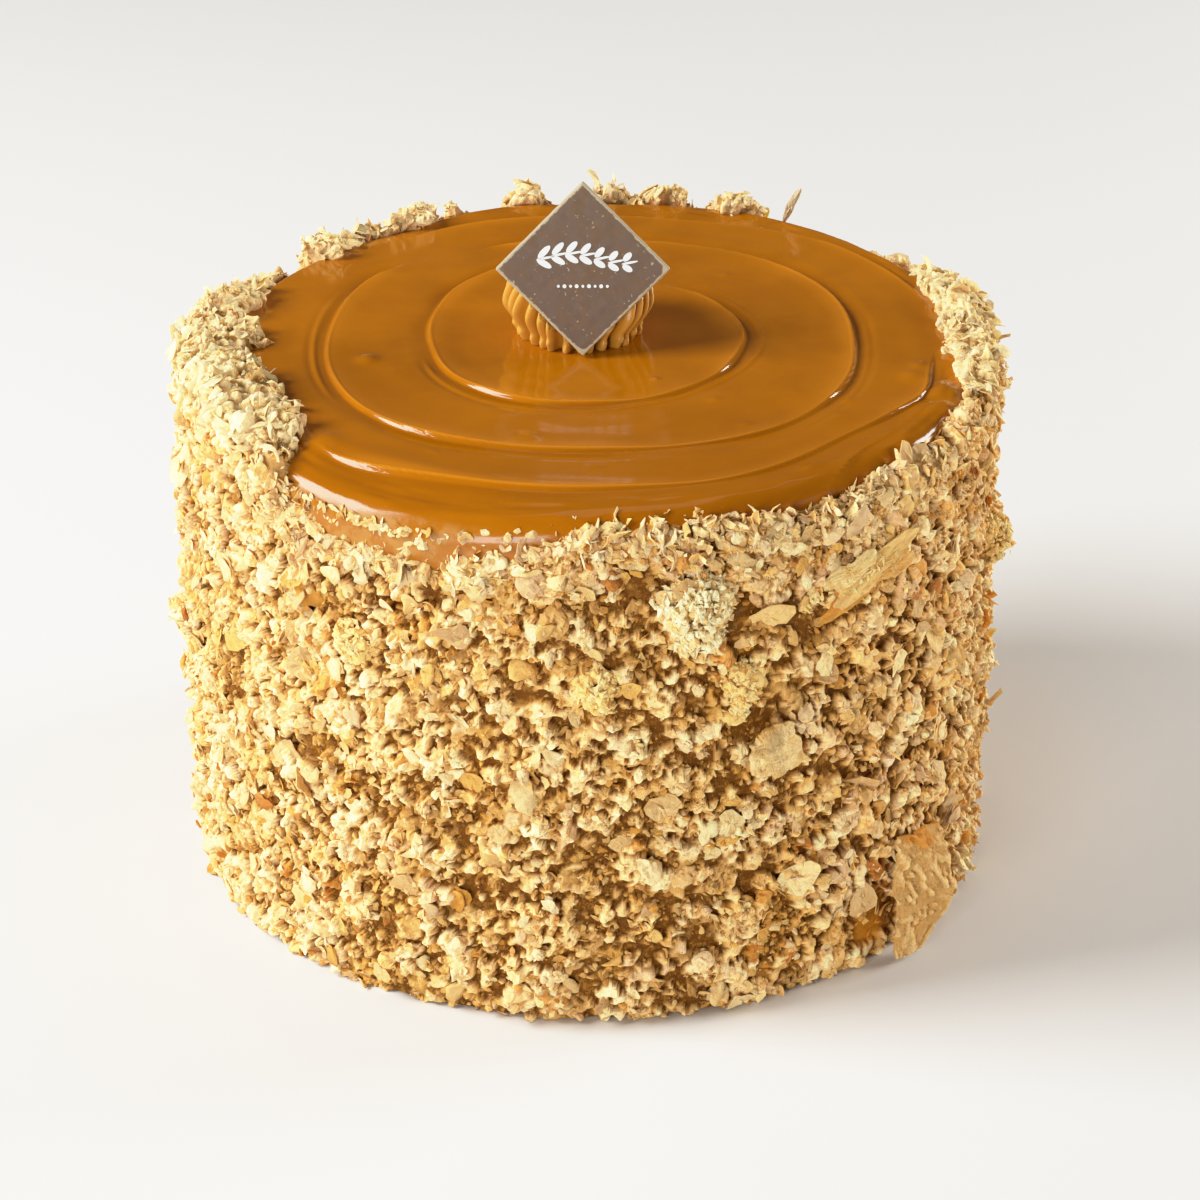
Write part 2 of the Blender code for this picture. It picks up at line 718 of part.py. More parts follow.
def make_rosette(collection, material):
    """Build the ribbed rosette and cut the place that the plaque presses into."""
    steps = ROSETTE_RIBS * 2
    item = lathe("rosette", rosette_profile(), steps, collection)
    foot = ICING_TOP + ICING_DOME + GAP * 2.0
    for vert in item.data.vertices:
        radius = math.hypot(vert.co.x, vert.co.y)
        if radius > 0.0001:
            angle = math.atan2(vert.co.y, vert.co.x)
            index = round(angle / math.tau * steps)
            level = vert.co.z / ROSETTE_HEIGHT
            rib = 1.0 + ROSETTE_RIB_DEPTH * (1.0 if index % 2 == 0 else -1.0)
            angle += ROSETTE_TWIST * level
            vert.co.x = radius * rib * math.cos(angle)
            vert.co.y = radius * rib * math.sin(angle)
        vert.co += Vector((ROSETTE_X, ROSETTE_Y, foot))
    face_outwards(item)
    cutters = bpy.data.collections.new("cutters")
    bpy.context.scene.collection.children.link(cutters)
    spare = GAP * 2.0
    cutter = plate("plaque_cutter", PLAQUE_SIDE + spare, PLAQUE_THICK + spare, 0.0, cutters)
    cut_front(cutter)
    cutter.hide_render = True
    cutter.display_type = "WIRE"
    cut = item.modifiers.new("Plaque place", "BOOLEAN")
    cut.operation = "DIFFERENCE"
    cut.object = cutter
    cut.solver = "EXACT"
    apply_modifiers(item)
    bpy.data.objects.remove(cutter, do_unlink=True)
    bpy.data.collections.remove(cutters)
    keep_largest(item)
    item.data.materials.clear()
    item.data.materials.append(material)
    smooth(item)
    return item


def cut_front(cutter):
    """Draw the front face of the cutter forwards, so that nothing stays before the plaque."""
    forward = plaque_matrix().to_3x3() @ Vector((0.0, -1.0, 0.0))
    centre = sum((vert.co for vert in cutter.data.vertices), Vector()) / len(cutter.data.vertices)
    for vert in cutter.data.vertices:
        if (vert.co - centre).dot(forward) > 0.0:
            vert.co += forward * CUTTER_REACH


def make_plaque(collection, material):
    """Build the chocolate plaque."""
    item = plate("plaque", PLAQUE_SIDE, PLAQUE_THICK, PLAQUE_BEVEL, collection)
    item.data.materials.append(material)
    return item


def side_piece(values, collection, material, rng):
    """Build one large pastry piece whose flat back follows the side of the body."""
    name, angle, level, width, tall, thick, turn, ragged, detail = values
    bm = bmesh.new()
    bmesh.ops.create_icosphere(bm, subdivisions=detail, radius=1.0)
    back = CORE_RADIUS + PIECE_BACK
    spin = math.radians(turn)
    phase = rng.uniform(0.0, 50.0)
    for vert in bm.verts:
        across, out, along = vert.co.x, vert.co.y, vert.co.z
        rough = noise.noise(vert.co * PIECE_GRAINS[0] + Vector((phase, 0.0, 0.0)))
        rough += PIECE_FINE * noise.noise(vert.co * PIECE_GRAINS[1] + Vector((0.0, phase, 0.0)))
        grown = 1.0 + ragged * (rough * PIECE_ROUGH + rng.uniform(-PIECE_JITTER, PIECE_JITTER))
        across *= grown * width * 0.5
        along *= grown * tall * 0.5
        depth = max(0.0, out * PIECE_DOME + PIECE_REST) * thick * (1.0 + ragged * rough)
        turned_across = across * math.cos(spin) - along * math.sin(spin)
        turned_along = across * math.sin(spin) + along * math.cos(spin)
        spot = polar(back + depth, angle + math.degrees(turned_across / CORE_RADIUS))
        vert.co = Vector((spot.x, spot.y, level + turned_along))
    item = make_object(name, bm, collection, material)
    return item


def sheet_outline(along):
    """Share of the sheet's greatest half width at a share of its height."""
    oval = math.sqrt(1.0 - ((along - SHEET_WIDEST) / SHEET_HALF_SPAN) ** 2)
    return oval * (SHEET_TIP + (1.0 - SHEET_TIP) * smoothstep(along / SHEET_POINT))


def sheet_middle(along):
    """Shift of the sheet's middle line sideways at a share of its height."""
    foot = SHEET_FOOT_SHIFT * (1.0 - smoothstep(along / SHEET_FOOT_SHARE))
    top = SHEET_TOP_SHIFT * smoothstep((along + SHEET_TOP_SHARE - 1.0) / SHEET_TOP_SHARE)
    return SHEET_SHIFT - foot - top


def make_sheet(collection, material, rng):
    """Build the pastry sheet that leans on the lower right of the side."""
    bm = bmesh.new()
    bmesh.ops.create_grid(bm, x_segments=SHEET_COLUMNS, y_segments=SHEET_ROWS, size=0.5)
    for vert in bm.verts:
        across, along = vert.co.x * 2.0, vert.co.y + 0.5
        half = SHEET_WIDTH * 0.5 * sheet_outline(along)
        height = FLOOR_CLEAR + SHEET_TALL * along
        radius = SHEET_FOOT_RADIUS + (SHEET_TOP_RADIUS - SHEET_FOOT_RADIUS) * along
        sideways = sheet_middle(along) + across * half
        radius += sideways * SHEET_FLARE + SHEET_ROUGH * rng.uniform(-1.0, 1.0)
        spot = polar(radius, SHEET_ANGLE + math.degrees(sideways / CORE_RADIUS))
        vert.co = Vector((spot.x, spot.y, height))
    item = make_object("flake_leaning", bm, collection, material)
    thicken = item.modifiers.new("Thickness", "SOLIDIFY")
    thicken.thickness = SHEET_THICK
    thicken.offset = 0.0
    apply_modifiers(item)
    for vert in item.data.vertices:
        vert.co.z = max(vert.co.z, FLOOR_CLEAR)
    return item


def centre_on_origin(items):
    """Shift all parts so that the middle of their joint box stands over the origin."""
    corners = [vert.co for item in items for vert in item.data.vertices]
    middle_x = 0.5 * (min(co.x for co in corners) + max(co.x for co in corners))
    middle_y = 0.5 * (min(co.y for co in corners) + max(co.y for co in corners))
    shift = Matrix.Translation((-middle_x, -middle_y, 0.0))
    for item in items:
        item.data.transform(shift)


def main():
    clear_scene()
    collection = bpy.data.collections.new(COLLECTION_NAME)
    bpy.context.scene.collection.children.link(collection)
    rng = random.Random(SEED)
    pastry = make_material("pastry_crumb", 224, 184, 124, 0.75)
    caramel = make_material("caramel_icing", 176, 105, 12, 0.22)
    piped = make_material("piped_caramel", 200, 124, 34, 0.32)
    chocolate = make_material("chocolate", 122, 98, 88, 0.55)
    flake = make_material("pale_flake", 244, 214, 160, 0.70)
    items = [
        make_cake(collection, pastry, rng),
        make_icing_top(collection, caramel, rng),
        make_rosette(collection, piped),
        make_plaque(collection, chocolate),
        make_sheet(collection, flake, rng),
    ]
    for values in SIDE_PIECES:
        items.append(side_piece(values, collection, flake, rng))
    centre_on_origin(items)


main()
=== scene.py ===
"""Looks of the crumb-coated layer cake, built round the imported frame.

Lengths are metres, +Z is up and the front looks towards -Y. Angles are degrees round the
cake's axis, from +X towards +Y. Laid out as an add-on and run as a script.
"""

import math

import bpy
import numpy as np
from mathutils import Matrix, Vector


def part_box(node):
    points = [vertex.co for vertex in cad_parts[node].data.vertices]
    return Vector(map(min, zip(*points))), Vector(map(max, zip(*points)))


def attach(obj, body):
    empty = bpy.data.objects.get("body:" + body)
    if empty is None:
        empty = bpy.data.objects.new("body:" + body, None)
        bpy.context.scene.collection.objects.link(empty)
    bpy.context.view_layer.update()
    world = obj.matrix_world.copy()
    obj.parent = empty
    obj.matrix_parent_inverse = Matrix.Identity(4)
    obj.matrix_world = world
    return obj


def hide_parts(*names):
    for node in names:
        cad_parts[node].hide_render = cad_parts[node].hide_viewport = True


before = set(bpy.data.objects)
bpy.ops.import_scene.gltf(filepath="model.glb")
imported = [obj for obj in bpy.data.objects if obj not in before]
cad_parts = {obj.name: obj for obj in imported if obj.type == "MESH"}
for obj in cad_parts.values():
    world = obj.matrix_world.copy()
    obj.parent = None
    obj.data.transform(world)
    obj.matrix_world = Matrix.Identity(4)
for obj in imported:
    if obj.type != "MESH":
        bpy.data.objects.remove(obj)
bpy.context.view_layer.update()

bl_info = {
    "name": "Crumb-coated layer cake",
    "version": (1, 0, 0),
    "blender": (4, 5, 0),
    "location": "3D View > Sidebar > Cake",
    "description": "Builds a caramel layer cake rolled in pastry crumbs",
    "category": "Mesh",
}

MM = 0.001
BODY = "root"
IMAGE = 1200.0
ICING_LEVEL = 135.3

# Plaque in millimetres, with its lean in degrees, as in the solid
PLAQUE_SIDE = 30.4
PLAQUE_FOOT = (-1.2, -11.2, 136.2)
PLAQUE_LEAN = 15.0
PLAQUE_THICK = 2.4
PLAQUE_BEVEL = 0.4

# Rosette in millimetres, as in the solid
ROSETTE_AXIS = (-2.3, 6.2)
ROSETTE_BASE = 14.2
ROSETTE_BELLY = 17.8
ROSETTE_RIBS = 28

# Millimetres: radius at which distances round the side are measured, radius at which the largest
# pieces are laid out, upper end of the coat, radius of the caramel's edge, underside of the caramel,
# radius of the wall behind the crumb bed
SIDE = 100.0
PIECE_ARC = 99.0
COAT_TOP = 118.0
CARAMEL_EDGE = 96.5
CARAMEL_FOOT = 118.5
BED_BACK = 92.0

# Seeds of the random draws of each step
BED_SEED, FINE_SEED, FLAKE_SEED = 606, 101, 202
LUMP_SEED, LARGE_SEED, PLAQUE_SEED = 303, 404, 505

# Least height of a loose crumb and of a sheet above the floor, in millimetres
CRUMB_FLOOR = 0.4
SHEET_FLOOR = 0.6

# Lean of the body at the back left: first and last angle, fade in degrees, depth, start and rise
SLUMP_FIRST, SLUMP_LAST, SLUMP_FADE = 100.0, 180.0, 26.0
SLUMP, SLUMP_LOW, SLUMP_RISE = 6.6, 40.0, 92.0

# Angle of the bare shoulder at the front left, where the caramel hangs over the edge
SHOULDER = -118.0

# Upright flake at the back right: place and size in millimetres, lean in degrees, display colour
UPRIGHT_PLACE = (54.0, 80.8, 139.8)
UPRIGHT_SIZE = (4.8, 1.3, 3.4)
UPRIGHT_LEAN = 25.0
UPRIGHT_TONE = (196, 182, 150)

# Round flake: angle, height, radius, size, thickness, slope and turn
ROUND_FLAKE = (-64.6, 70.8, 103.6, (13.5, 13.0), 1.6, 0.05, 10.0)

# Thickness of the sprig printed on the plaque, in metres
SPRIG_LAYER = 0.00016

# Camera in metres from the cake's axis, degrees that it looks down, focal length in pixels of
# the photo, and sensor width in millimetres
CAMERA_PLACE = (0.003, -0.894, 0.519)
CAMERA_DOWN = 27.03
FOCAL_PIXELS = 3900.0
SENSOR = 36.0

# Lights: name, place, target, size and power
LIGHT_COLOUR = (1.0, 0.98, 0.95)
LIGHTS = (
    ("key", (-1.22, -0.15, 0.94), (0.0, 0.0, 0.10), 0.72, 35.0),
    ("front_fill", (-0.56, -1.46, 0.27), (0.0, 0.0, 0.06), 0.6, 17.0),
    ("overhead", (0.1, 0.35, 1.5), (0.0, 0.0, 0.1), 0.8, 1.6),
    ("back_right", (1.30, 0.50, 0.40), (0.0, 0.0, 0.06), 0.6, 22.0),
)

# Curve that softens the highlights of the view: brightest value kept, and points below it
BRIGHTEST = 2.5
VIEW_CURVE = ((0.3, 0.3), (0.6, 0.6), (0.8, 0.775), (1.0, 0.885), (1.3, 0.955), (1.7, 0.985))


# Places on the cake

def smoothstep(value):
    """Ease numbers from 0 to 1."""
    part = np.clip(value, 0.0, 1.0)
    return part * part * (3.0 - 2.0 * part)


def wrapped(angle):
    """Bring angles in degrees between -180 and 180."""
    return (np.asarray(angle) + 180.0) % 360.0 - 180.0


def lattice_value(i, j, seed, turn=None):
    """A fixed random number between -1 and 1 for each lattice point."""
    if turn is not None:
        i = np.mod(i, turn)
    stirred = (i * 374761393 + j * 668265263 + seed * 1274126177) & 0x7FFFFFFF
    stirred = ((stirred ^ (stirred >> 13)) * 1103515245) & 0x7FFFFFFF
    return (stirred % 65536) / 32767.5 - 1.0


def lattice_noise(x, y, seed, turn=None):
    """Smooth noise between -1 and 1 on a plane; turn makes it repeat after that many cells."""
    column = np.floor(x).astype(int)
    row = np.floor(y).astype(int)
    across = smoothstep(x - column)
    along = smoothstep(y - row)
    low, high = (
        lattice_value(column, level, seed, turn) * (1.0 - across)
        + lattice_value(column + 1, level, seed, turn) * across for level in (row, row + 1))
    return low * (1.0 - along) + high * along


def side_noise(angle, height, cell, seed):
    """Noise over the side, with height in millimetres and cells of about that size."""
    turn = max(3, int(round(math.tau * SIDE / cell)))
    return lattice_noise(np.asarray(angle) / 360.0 * turn + 4000.0 * turn, height / cell, seed, turn)


# Rim of crumbs: angle, reach inwards over the caramel, top above the caramel, in millimetres
RIM = (
    (-180.0, 20.0, 5.0), (-177.0, 19.5, 5.0), (-174.5, 11.0, 4.5), (-170.0, 9.5, 5.5),
    (-165.0, 15.0, 6.5), (-161.0, 19.5, 7.0), (-155.0, 20.0, 7.5), (-150.0, 19.0, 7.0),
    (-145.0, 15.0, 6.0), (-141.0, 11.0, 5.0), (-137.0, 7.0, 1.0), (-134.0, 1.0, -9.0),
    (-130.0, 0.0, -12.5), (-122.0, 0.0, -14.5), (-112.0, 0.0, -14.5), (-104.0, 0.0, -12.5),
    (-98.0, 0.0, -9.5), (-93.0, 0.0, -5.5), (-88.0, 0.0, -3.5), (-80.0, 0.0, -4.0), (-74.0, 0.0, -4.5),
    (-66.0, 0.0, -4.0), (-57.0, 0.0, -5.5), (-50.0, 0.0, -3.5), (-44.0, 0.0, -2.0),
    (-38.0, 0.0, -3.0), (-30.0, 0.5, -2.0), (-22.0, 1.5, 0.0), (-14.0, 4.5, 2.5),
    (-4.0, 8.5, 4.0), (3.0, 10.0, 5.0), (12.0, 9.0, 5.5), (20.0, 5.0, 4.5),
    (26.0, 2.0, 2.0), (32.0, 0.8, 0.6), (38.0, 0.0, -0.8), (57.0, 0.0, -0.8),
    (61.0, 1.2, 0.8), (64.0, 2.5, 3.0), (67.0, 3.4, 4.2), (70.0, 2.0, 1.8), (73.0, 1.0, 0.8),
    (76.0, 2.4, 3.0), (80.0, 2.6, 3.6), (83.0, 1.4, 1.4), (86.0, 2.0, 2.5), (88.5, 3.0, 4.4),
    (91.0, 1.6, 1.6), (94.0, 0.6, 0.4), (97.0, 1.5, 1.2), (99.0, 3.2, 3.2), (100.5, 3.8, 4.2),
    (102.5, 2.6, 2.2), (104.5, 0.4, -0.2), (108.0, 0.0, -0.8), (110.5, 1.4, 1.6),
    (112.5, 1.8, 2.0), (114.5, 0.6, 0.2), (117.0, 2.0, 2.2), (120.0, 3.6, 3.8),
    (123.0, 3.8, 3.6), (126.0, 2.4, 2.2), (129.0, 1.6, 1.6), (133.0, 2.0, 2.4),
    (137.0, 3.4, 3.6), (139.0, 5.0, 5.2), (141.5, 5.0, 5.4), (143.5, 1.6, 0.8),
    (146.0, 0.0, -1.0), (149.0, 1.0, 1.6), (152.0, 1.8, 2.8), (155.0, 1.6, 2.4),
    (159.0, 3.2, 3.6), (164.0, 6.0, 5.2), (169.0, 8.0, 5.6), (174.0, 9.0, 5.8),
    (177.0, 15.0, 5.2), (180.0, 20.0, 5.0),
)


def rim_reach(angle):
    """How far the crumbs reach inwards over the caramel."""
    return np.interp(wrapped(angle), *np.array(RIM).T[[0, 1]])


def rim_top(angle):
    """Height of the top of the crumb wall above the floor."""
    return ICING_LEVEL + np.interp(wrapped(angle), *np.array(RIM).T[[0, 2]])


def size_setting(name, description, default):
    """A length that a user may change."""
    return bpy.props.FloatProperty(name=name, description=description, default=default, unit="LENGTH")


def colour_setting(name, description, default):
    """A colour that a user may change, as linear values."""
    return bpy.props.FloatVectorProperty(
        name=name, description=description, default=default, subtype="COLOR", size=3)


class CakeSizes(bpy.types.PropertyGroup):
    """Sizes of the cake in metres."""

    coat_radius: size_setting("Coat radius", "Radius of the caramel coat under the crumbs", 0.0974)
    ridge_height: size_setting("Ridge height", "Height of the ridge that the spatula left", 0.00075)
    ridge_trough: size_setting("Trough depth", "Depth of the groove outside the ridge", 0.0005)
    crumb_share: bpy.props.FloatProperty(
        name="Crumb cover", description="Share of the full number of crumbs",
        default=1.0, min=0.05, max=1.0, subtype="FACTOR")
    rosette_height: size_setting("Rosette height", "Height of the piped rosette", 0.0235)
    plaque_side: size_setting("Plaque side", "Side of the square chocolate plaque", PLAQUE_SIDE * MM)


class CakeColours(bpy.types.PropertyGroup):
    """Display colours of the cake, as linear values."""

    caramel: colour_setting("Caramel", "Colour of the caramel top", (0.408, 0.137, 0.002))
    # The thick caramel colour is the dark of the caramel's mottling, and also the painted shade of the
    # troughs and of the top's front.
    caramel_dark: colour_setting("Thick caramel", "Colour where the caramel is thick", (0.290, 0.090, 0.001))
    coat: colour_setting("Coat", "Colour of the caramel under the crumbs", (0.150, 0.052, 0.004))
    piped: colour_setting("Piped caramel", "Colour of the rosette", (0.500, 0.225, 0.022))
    chocolate: colour_setting("Chocolate", "Colour of the plaque", (0.138, 0.090, 0.062))
    floor: colour_setting("Floor", "Colour of the studio floor", (0.80, 0.80, 0.79))


def sizes():
    """Return the sizes of this scene."""
    return bpy.context.scene.cake_sizes


def colours():
    """Return the colours of this scene."""
    return bpy.context.scene.cake_colours


# Swirl of the caramel: the same arcs as in the solid, in millimetres

def swell(angle, middle, width):
    """A soft bell of height 1 round a middle angle."""
    return np.exp(-(((angle - middle) / width) ** 2))


def inner_turn(angle):
    """Radius of the first turn, which swings out to the second as the angle falls."""
    oval = 0.9 * np.cos(np.radians(2.0 * (angle - 240.0)))
    return 38.9 + 24.0 * smoothstep((195.0 - angle) / 150.0) + oval


def middle_turn(angle):
    """Radius of the second turn, a little squarish and wider at the right."""
    square = -1.8 * np.cos(np.radians(4.0 * angle))
    return 67.0 + square + 0.8 * np.cos(np.radians(angle - 20.0))


def outer_turn(angle):
    """Radius of the third turn along the front, with its curl at the left."""
    out = 3.0 * swell(angle, -130.0, 14.0) + 1.4 * swell(angle, -70.0, 9.0)
    return 85.3 + out - 2.0 * swell(angle, -44.0, 10.0) + 1.8 * swell(angle, -21.0, 6.0)


def fold_turn(angle):
    """Radius of the short fold near the edge at the front right."""
    return 91.0 + 6.0 * smoothstep((-43.0 - angle) / 14.0)


def back_turn(angle):
    """Radius of the third turn round the back and right."""
    return 90.5 - 6.5 * smoothstep((angle - 45.0) / 32.0) - 1.6 * smoothstep((45.0 - angle) / 35.0)


def inner_crease(angle):
    """Radius of the faint crease outside the first turn."""
    return inner_turn(angle) + 3.8 + 1.2 * np.cos(np.radians(3.0 * angle))


def middle_crease(angle):
    """Radius of the faint crease outside the second turn at the left."""
    return middle_turn(angle) + 3.6


SWIRL = (
    (inner_turn, 82.0, 425.0, 1.00),
    (middle_turn, -228.0, 118.0, 1.00),
    (outer_turn, -139.0, -4.0, 0.90),
    (back_turn, 12.0, 128.0, 0.75),
    (fold_turn, -62.0, -34.0, 0.80),
)
CREASES = (
    (inner_crease, 195.0, 410.0, 0.30),
    (middle_crease, 150.0, 214.0, 0.34),
    (middle_crease, -60.0, 20.0, 0.16),
)


def ridge_profile(offset, height, trough):
    """Height of one ridge at an offset outwards from its crest, in millimetres."""
    inside = 0.72 * height * np.clip(1.0 + offset / 11.0, 0.0, 1.0) ** 2
    inside = inside + 0.28 * height * np.exp(-((offset / 0.45) ** 2))
    drop = height - (height + trough) * smoothstep(offset / 0.9)
    outside = -trough * (1.0 - smoothstep((offset - 0.9) / 6.0))
    return np.where(offset <= 0.0, inside, np.where(offset <= 0.9, drop, outside))


def crease_profile(offset, height):
    """A thin low wrinkle beside a ridge."""
    return height * np.exp(-((offset / 0.7) ** 2)) - 0.5 * height * np.exp(-(((offset - 1.3) / 0.9) ** 2))


def slump(angle, height):
    """How far the body leans in at the back left, in millimetres."""
    there = np.mod(angle, 360.0)
    window = smoothstep((there - SLUMP_FIRST) / SLUMP_FADE) * smoothstep((SLUMP_LAST - there) / SLUMP_FADE)
    return SLUMP * window * smoothstep((height - SLUMP_LOW) / SLUMP_RISE)


def edge_radius(angle):
    """Radius of the caramel's edge, slightly wavy."""
    wave = np.sin(np.radians(3.0 * angle + 40.0)) + 0.6 * np.sin(np.radians(7.0 * angle))
    spread = 2.4 * swell(wrapped(angle - 62.0), 0.0, 20.0)
    return CARAMEL_EDGE + 0.5 * wave + spread - slump(angle, ICING_LEVEL)


def caramel_edge(angle):
    """Radius where the caramel starts to round over, and the width and height of that rounding."""
    sag = swell(wrapped(angle - SHOULDER), 0.0, 26.0)
    wide = 4.4 + 2.6 * sag
    return edge_radius(angle) + 1.2 + 2.8 * sag - wide, wide, 5.0 + 2.6 * sag


def swirl_relief(radius, angle):
    """Height that the spatula's ridges and creases add, in millimetres."""
    ridge = sizes().ridge_height / MM
    trough = sizes().ridge_trough / MM
    swirl = np.zeros(np.broadcast(radius, angle).shape)

    def turns(first, last, soft):
        """The angle on each turn, with how far a ridge between two angles has faded in there."""
        for turn in (-360.0, 0.0, 360.0):
            there = angle + turn
            fade = smoothstep((there - first) / soft) * smoothstep((last - there) / soft)
            yield there, fade, (there >= first) & (there <= last)

    for rule, first, last, share in SWIRL:
        for there, fade, within in turns(first, last, 14.0):
            wobble = 0.30 * np.sin(np.radians(there * 7.0)) * np.sin(np.radians(there * 2.3))
            lively = 1.0 + 0.28 * np.sin(np.radians(there * 3.0 + 70.0)) + 0.14 * np.sin(
                np.radians(there * 11.0))
            part = share * lively * fade * ridge_profile(radius - rule(there) - wobble, ridge, trough)
            part = np.where(within, part, 0.0)
            swirl = np.where(np.abs(part) > np.abs(swirl), part, swirl)
    for rule, first, last, share in CREASES:
        for there, fade, within in turns(first, last, 16.0):
            part = crease_profile(radius - rule(there), share * fade)
            swirl = swirl + np.where(within, part, 0.0)
    return swirl


# Small lumps under the caramel's skin: x, y, half width and height in millimetres
SKIN_LUMPS = (
    (-54.1, -12.6, 2.6, 0.9), (-14.0, -58.0, 2.4, 0.5), (37.4, -51.2, 1.3, 0.5),
    (16.4, -24.8, 1.1, 0.6), (63.1, -36.7, 1.2, 0.5), (35.3, 42.4, 1.2, 0.4),
    (30.7, -36.7, 1.5, 0.4), (60.2, -45.4, 1.6, 0.3), (-36.0, -66.0, 0.9, 0.5),
    (2.0, -74.0, 1.0, 0.4), (52.0, -74.0, 1.8, 0.7), (79.0, -22.0, 2.6, 0.7),
    (81.0, -16.0, 1.9, 0.6),
)


def caramel_height(radius, angle):
    """Height of the caramel above the floor over a place of the plane."""
    height = ICING_LEVEL + 0.6 * (1.0 - (radius / CARAMEL_EDGE) ** 2)
    height = height - 0.4 * np.exp(-((radius / 20.0) ** 2))
    x = radius * np.cos(np.radians(angle))
    y = radius * np.sin(np.radians(angle))
    height = height + 0.14 * lattice_noise(x / 15.0 + 40.0, y / 15.0 + 40.0, 3)
    grain = np.sin(radius / 1.3 + 2.2 * lattice_noise(x / 24.0 + 9.0, y / 24.0 + 9.0, 5))
    height = height + 0.022 * grain * smoothstep((radius - 20.0) / 10.0)
    messy = np.exp(-((wrapped(angle + 22.0) / 15.0) ** 2)) * smoothstep((radius - 86.0) / 5.0)
    folds = np.abs(lattice_noise(x / 7.0 + 9.0, y / 10.0 + 7.0, 8))
    height = height + messy * (1.5 * folds + 0.4 * lattice_noise(x / 3.0 + 5.0, y / 3.4 + 3.0, 9))
    for at_x, at_y, half, lift in SKIN_LUMPS:
        away = ((x - at_x) ** 2 + (y - at_y) ** 2) / half ** 2
        height = height + lift * np.exp(-away)
    rough_edge = lattice_noise(angle / 5.0 + 90.0, radius / 1.6 + 9.0, 18)
    height = height + 0.22 * rough_edge * smoothstep((radius - 88.0) / 4.0)
    sag = swell(wrapped(angle - SHOULDER), 0.0, 27.0) * smoothstep((radius - 83.0) / 13.0)
    curl = ((x + 62.0) ** 2 + (y + 60.0) ** 2) / 16.0
    return height + swirl_relief(radius, angle) + 1.1 * np.exp(-curl) - 3.6 * sag


# Mesh making

def polar(radius, turn, height):
    """Points at radii, turns in radians and heights."""
    return np.stack([radius * np.cos(turn), radius * np.sin(turn), height], axis=-1)


def mixed(first, second, share):
    """Blend two colours or arrays of colours."""
    return first + (second - first) * share


def spun(across, along, spin):
    """Turn two coordinates of a plane by an angle in radians."""
    return (across * math.cos(spin) - along * math.sin(spin),
            across * math.sin(spin) + along * math.cos(spin))


def clear_selection():
    """Deselect everything before an operator is used."""
    if bpy.context.object is not None and bpy.context.object.mode != "OBJECT":
        bpy.ops.object.mode_set(mode="OBJECT")
    bpy.ops.object.select_all(action="DESELECT")


def axis_shift():
    """Offset of the cake's axis from the frame's origin, found from the plaque's box."""
    low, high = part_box("plaque")
    half = 0.5 * PLAQUE_SIDE
    inner = half - PLAQUE_BEVEL
    deep = 0.5 * PLAQUE_THICK
    shallow = deep - PLAQUE_BEVEL
    place = plaque_matrix(PLAQUE_SIDE)
    corners = [
        place @ (Vector((x * right, y * back, z * up)) * MM)
        for x, y, z in ((half, shallow, inner), (inner, deep, inner), (inner, shallow, half))
        for right in (1, -1) for back in (1, -1) for up in (1, -1)]
    middle = 0.5 * (min(c.x for c in corners) + max(c.x for c in corners))
    front = min(c.y for c in corners)
    return Vector((0.5 * (low[0] + high[0]) - middle, low[1] - front, 0.0))


def plaque_matrix(side):
    """Place of a plaque of the given side: standing on a corner and leaning back."""
    lean = Matrix.Rotation(math.radians(-PLAQUE_LEAN), 4, "X")
    quarter = Matrix.Rotation(math.radians(45.0), 4, "Y")
    rise = Matrix.Translation((0.0, 0.0, side * MM / math.sqrt(2.0)))
    return Matrix.Translation(Vector(PLAQUE_FOOT) * MM) @ lean @ rise @ quarter


def finish_piece(item, material, slot, *nodes):
    """Give a piece its material and tell the frame what it rides on and replaces."""
    item.data.materials.clear()
    item.data.materials.append(material)
    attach(item, BODY)
    if nodes:
        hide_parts(*nodes)
    return item


def mesh_piece(name, points, triangles, values=None, smooth=True):
    """Make an object from points in millimetres round the cake's axis, with values at each point."""
    places = np.asarray(points, dtype=np.float64) * MM + np.array(axis_shift())
    faces = np.asarray(triangles, dtype=np.int32)
    mesh = bpy.data.meshes.new(name)
    mesh.vertices.add(len(places))
    mesh.vertices.foreach_set("co", places.ravel())
    mesh.loops.add(faces.size)
    mesh.loops.foreach_set("vertex_index", faces.ravel())
    mesh.polygons.add(len(faces))
    mesh.polygons.foreach_set("loop_start", np.arange(0, faces.size, faces.shape[1]))
    mesh.update(calc_edges=True)
    mesh.validate()
    mesh.polygons.foreach_set("use_smooth", np.full(len(mesh.polygons), smooth))
    for key, numbers in (values or {}).items():
        if numbers.ndim == 2:
            layer = mesh.attributes.new(key, "FLOAT_COLOR", "POINT")
            rgba = np.concatenate([np.clip(numbers, 0.0, 1.0), np.ones((len(numbers), 1))], axis=1)
            layer.data.foreach_set("color", rgba.astype(np.float32).ravel())
        else:
            layer = mesh.attributes.new(key, "FLOAT", "POINT")
            layer.data.foreach_set("value", numbers.astype(np.float32))
    item = bpy.data.objects.new(name, mesh)
    bpy.context.scene.collection.objects.link(item)
    return item


def ring_grid(rings, columns):
    """Quads, as index rows, of rings of points joined one to the next and closed round."""
    ring, column = np.meshgrid(np.arange(rings - 1), np.arange(columns), indexing="ij")
    following = (column + 1) % columns
    here = ring * columns
    below = (ring + 1) * columns
    quads = np.stack([here + column, here + following, below + following, below + column], axis=-1)
    return quads.reshape(-1, 4)


def fan(centre, first, columns, upwards):
    """Triangles from one centre point to a ring."""
    here = first + np.arange(columns)
    after = first + (np.arange(columns) + 1) % columns
    middle = np.full(columns, centre)
    return np.stack([middle, here, after] if upwards else [middle, after, here], axis=-1)


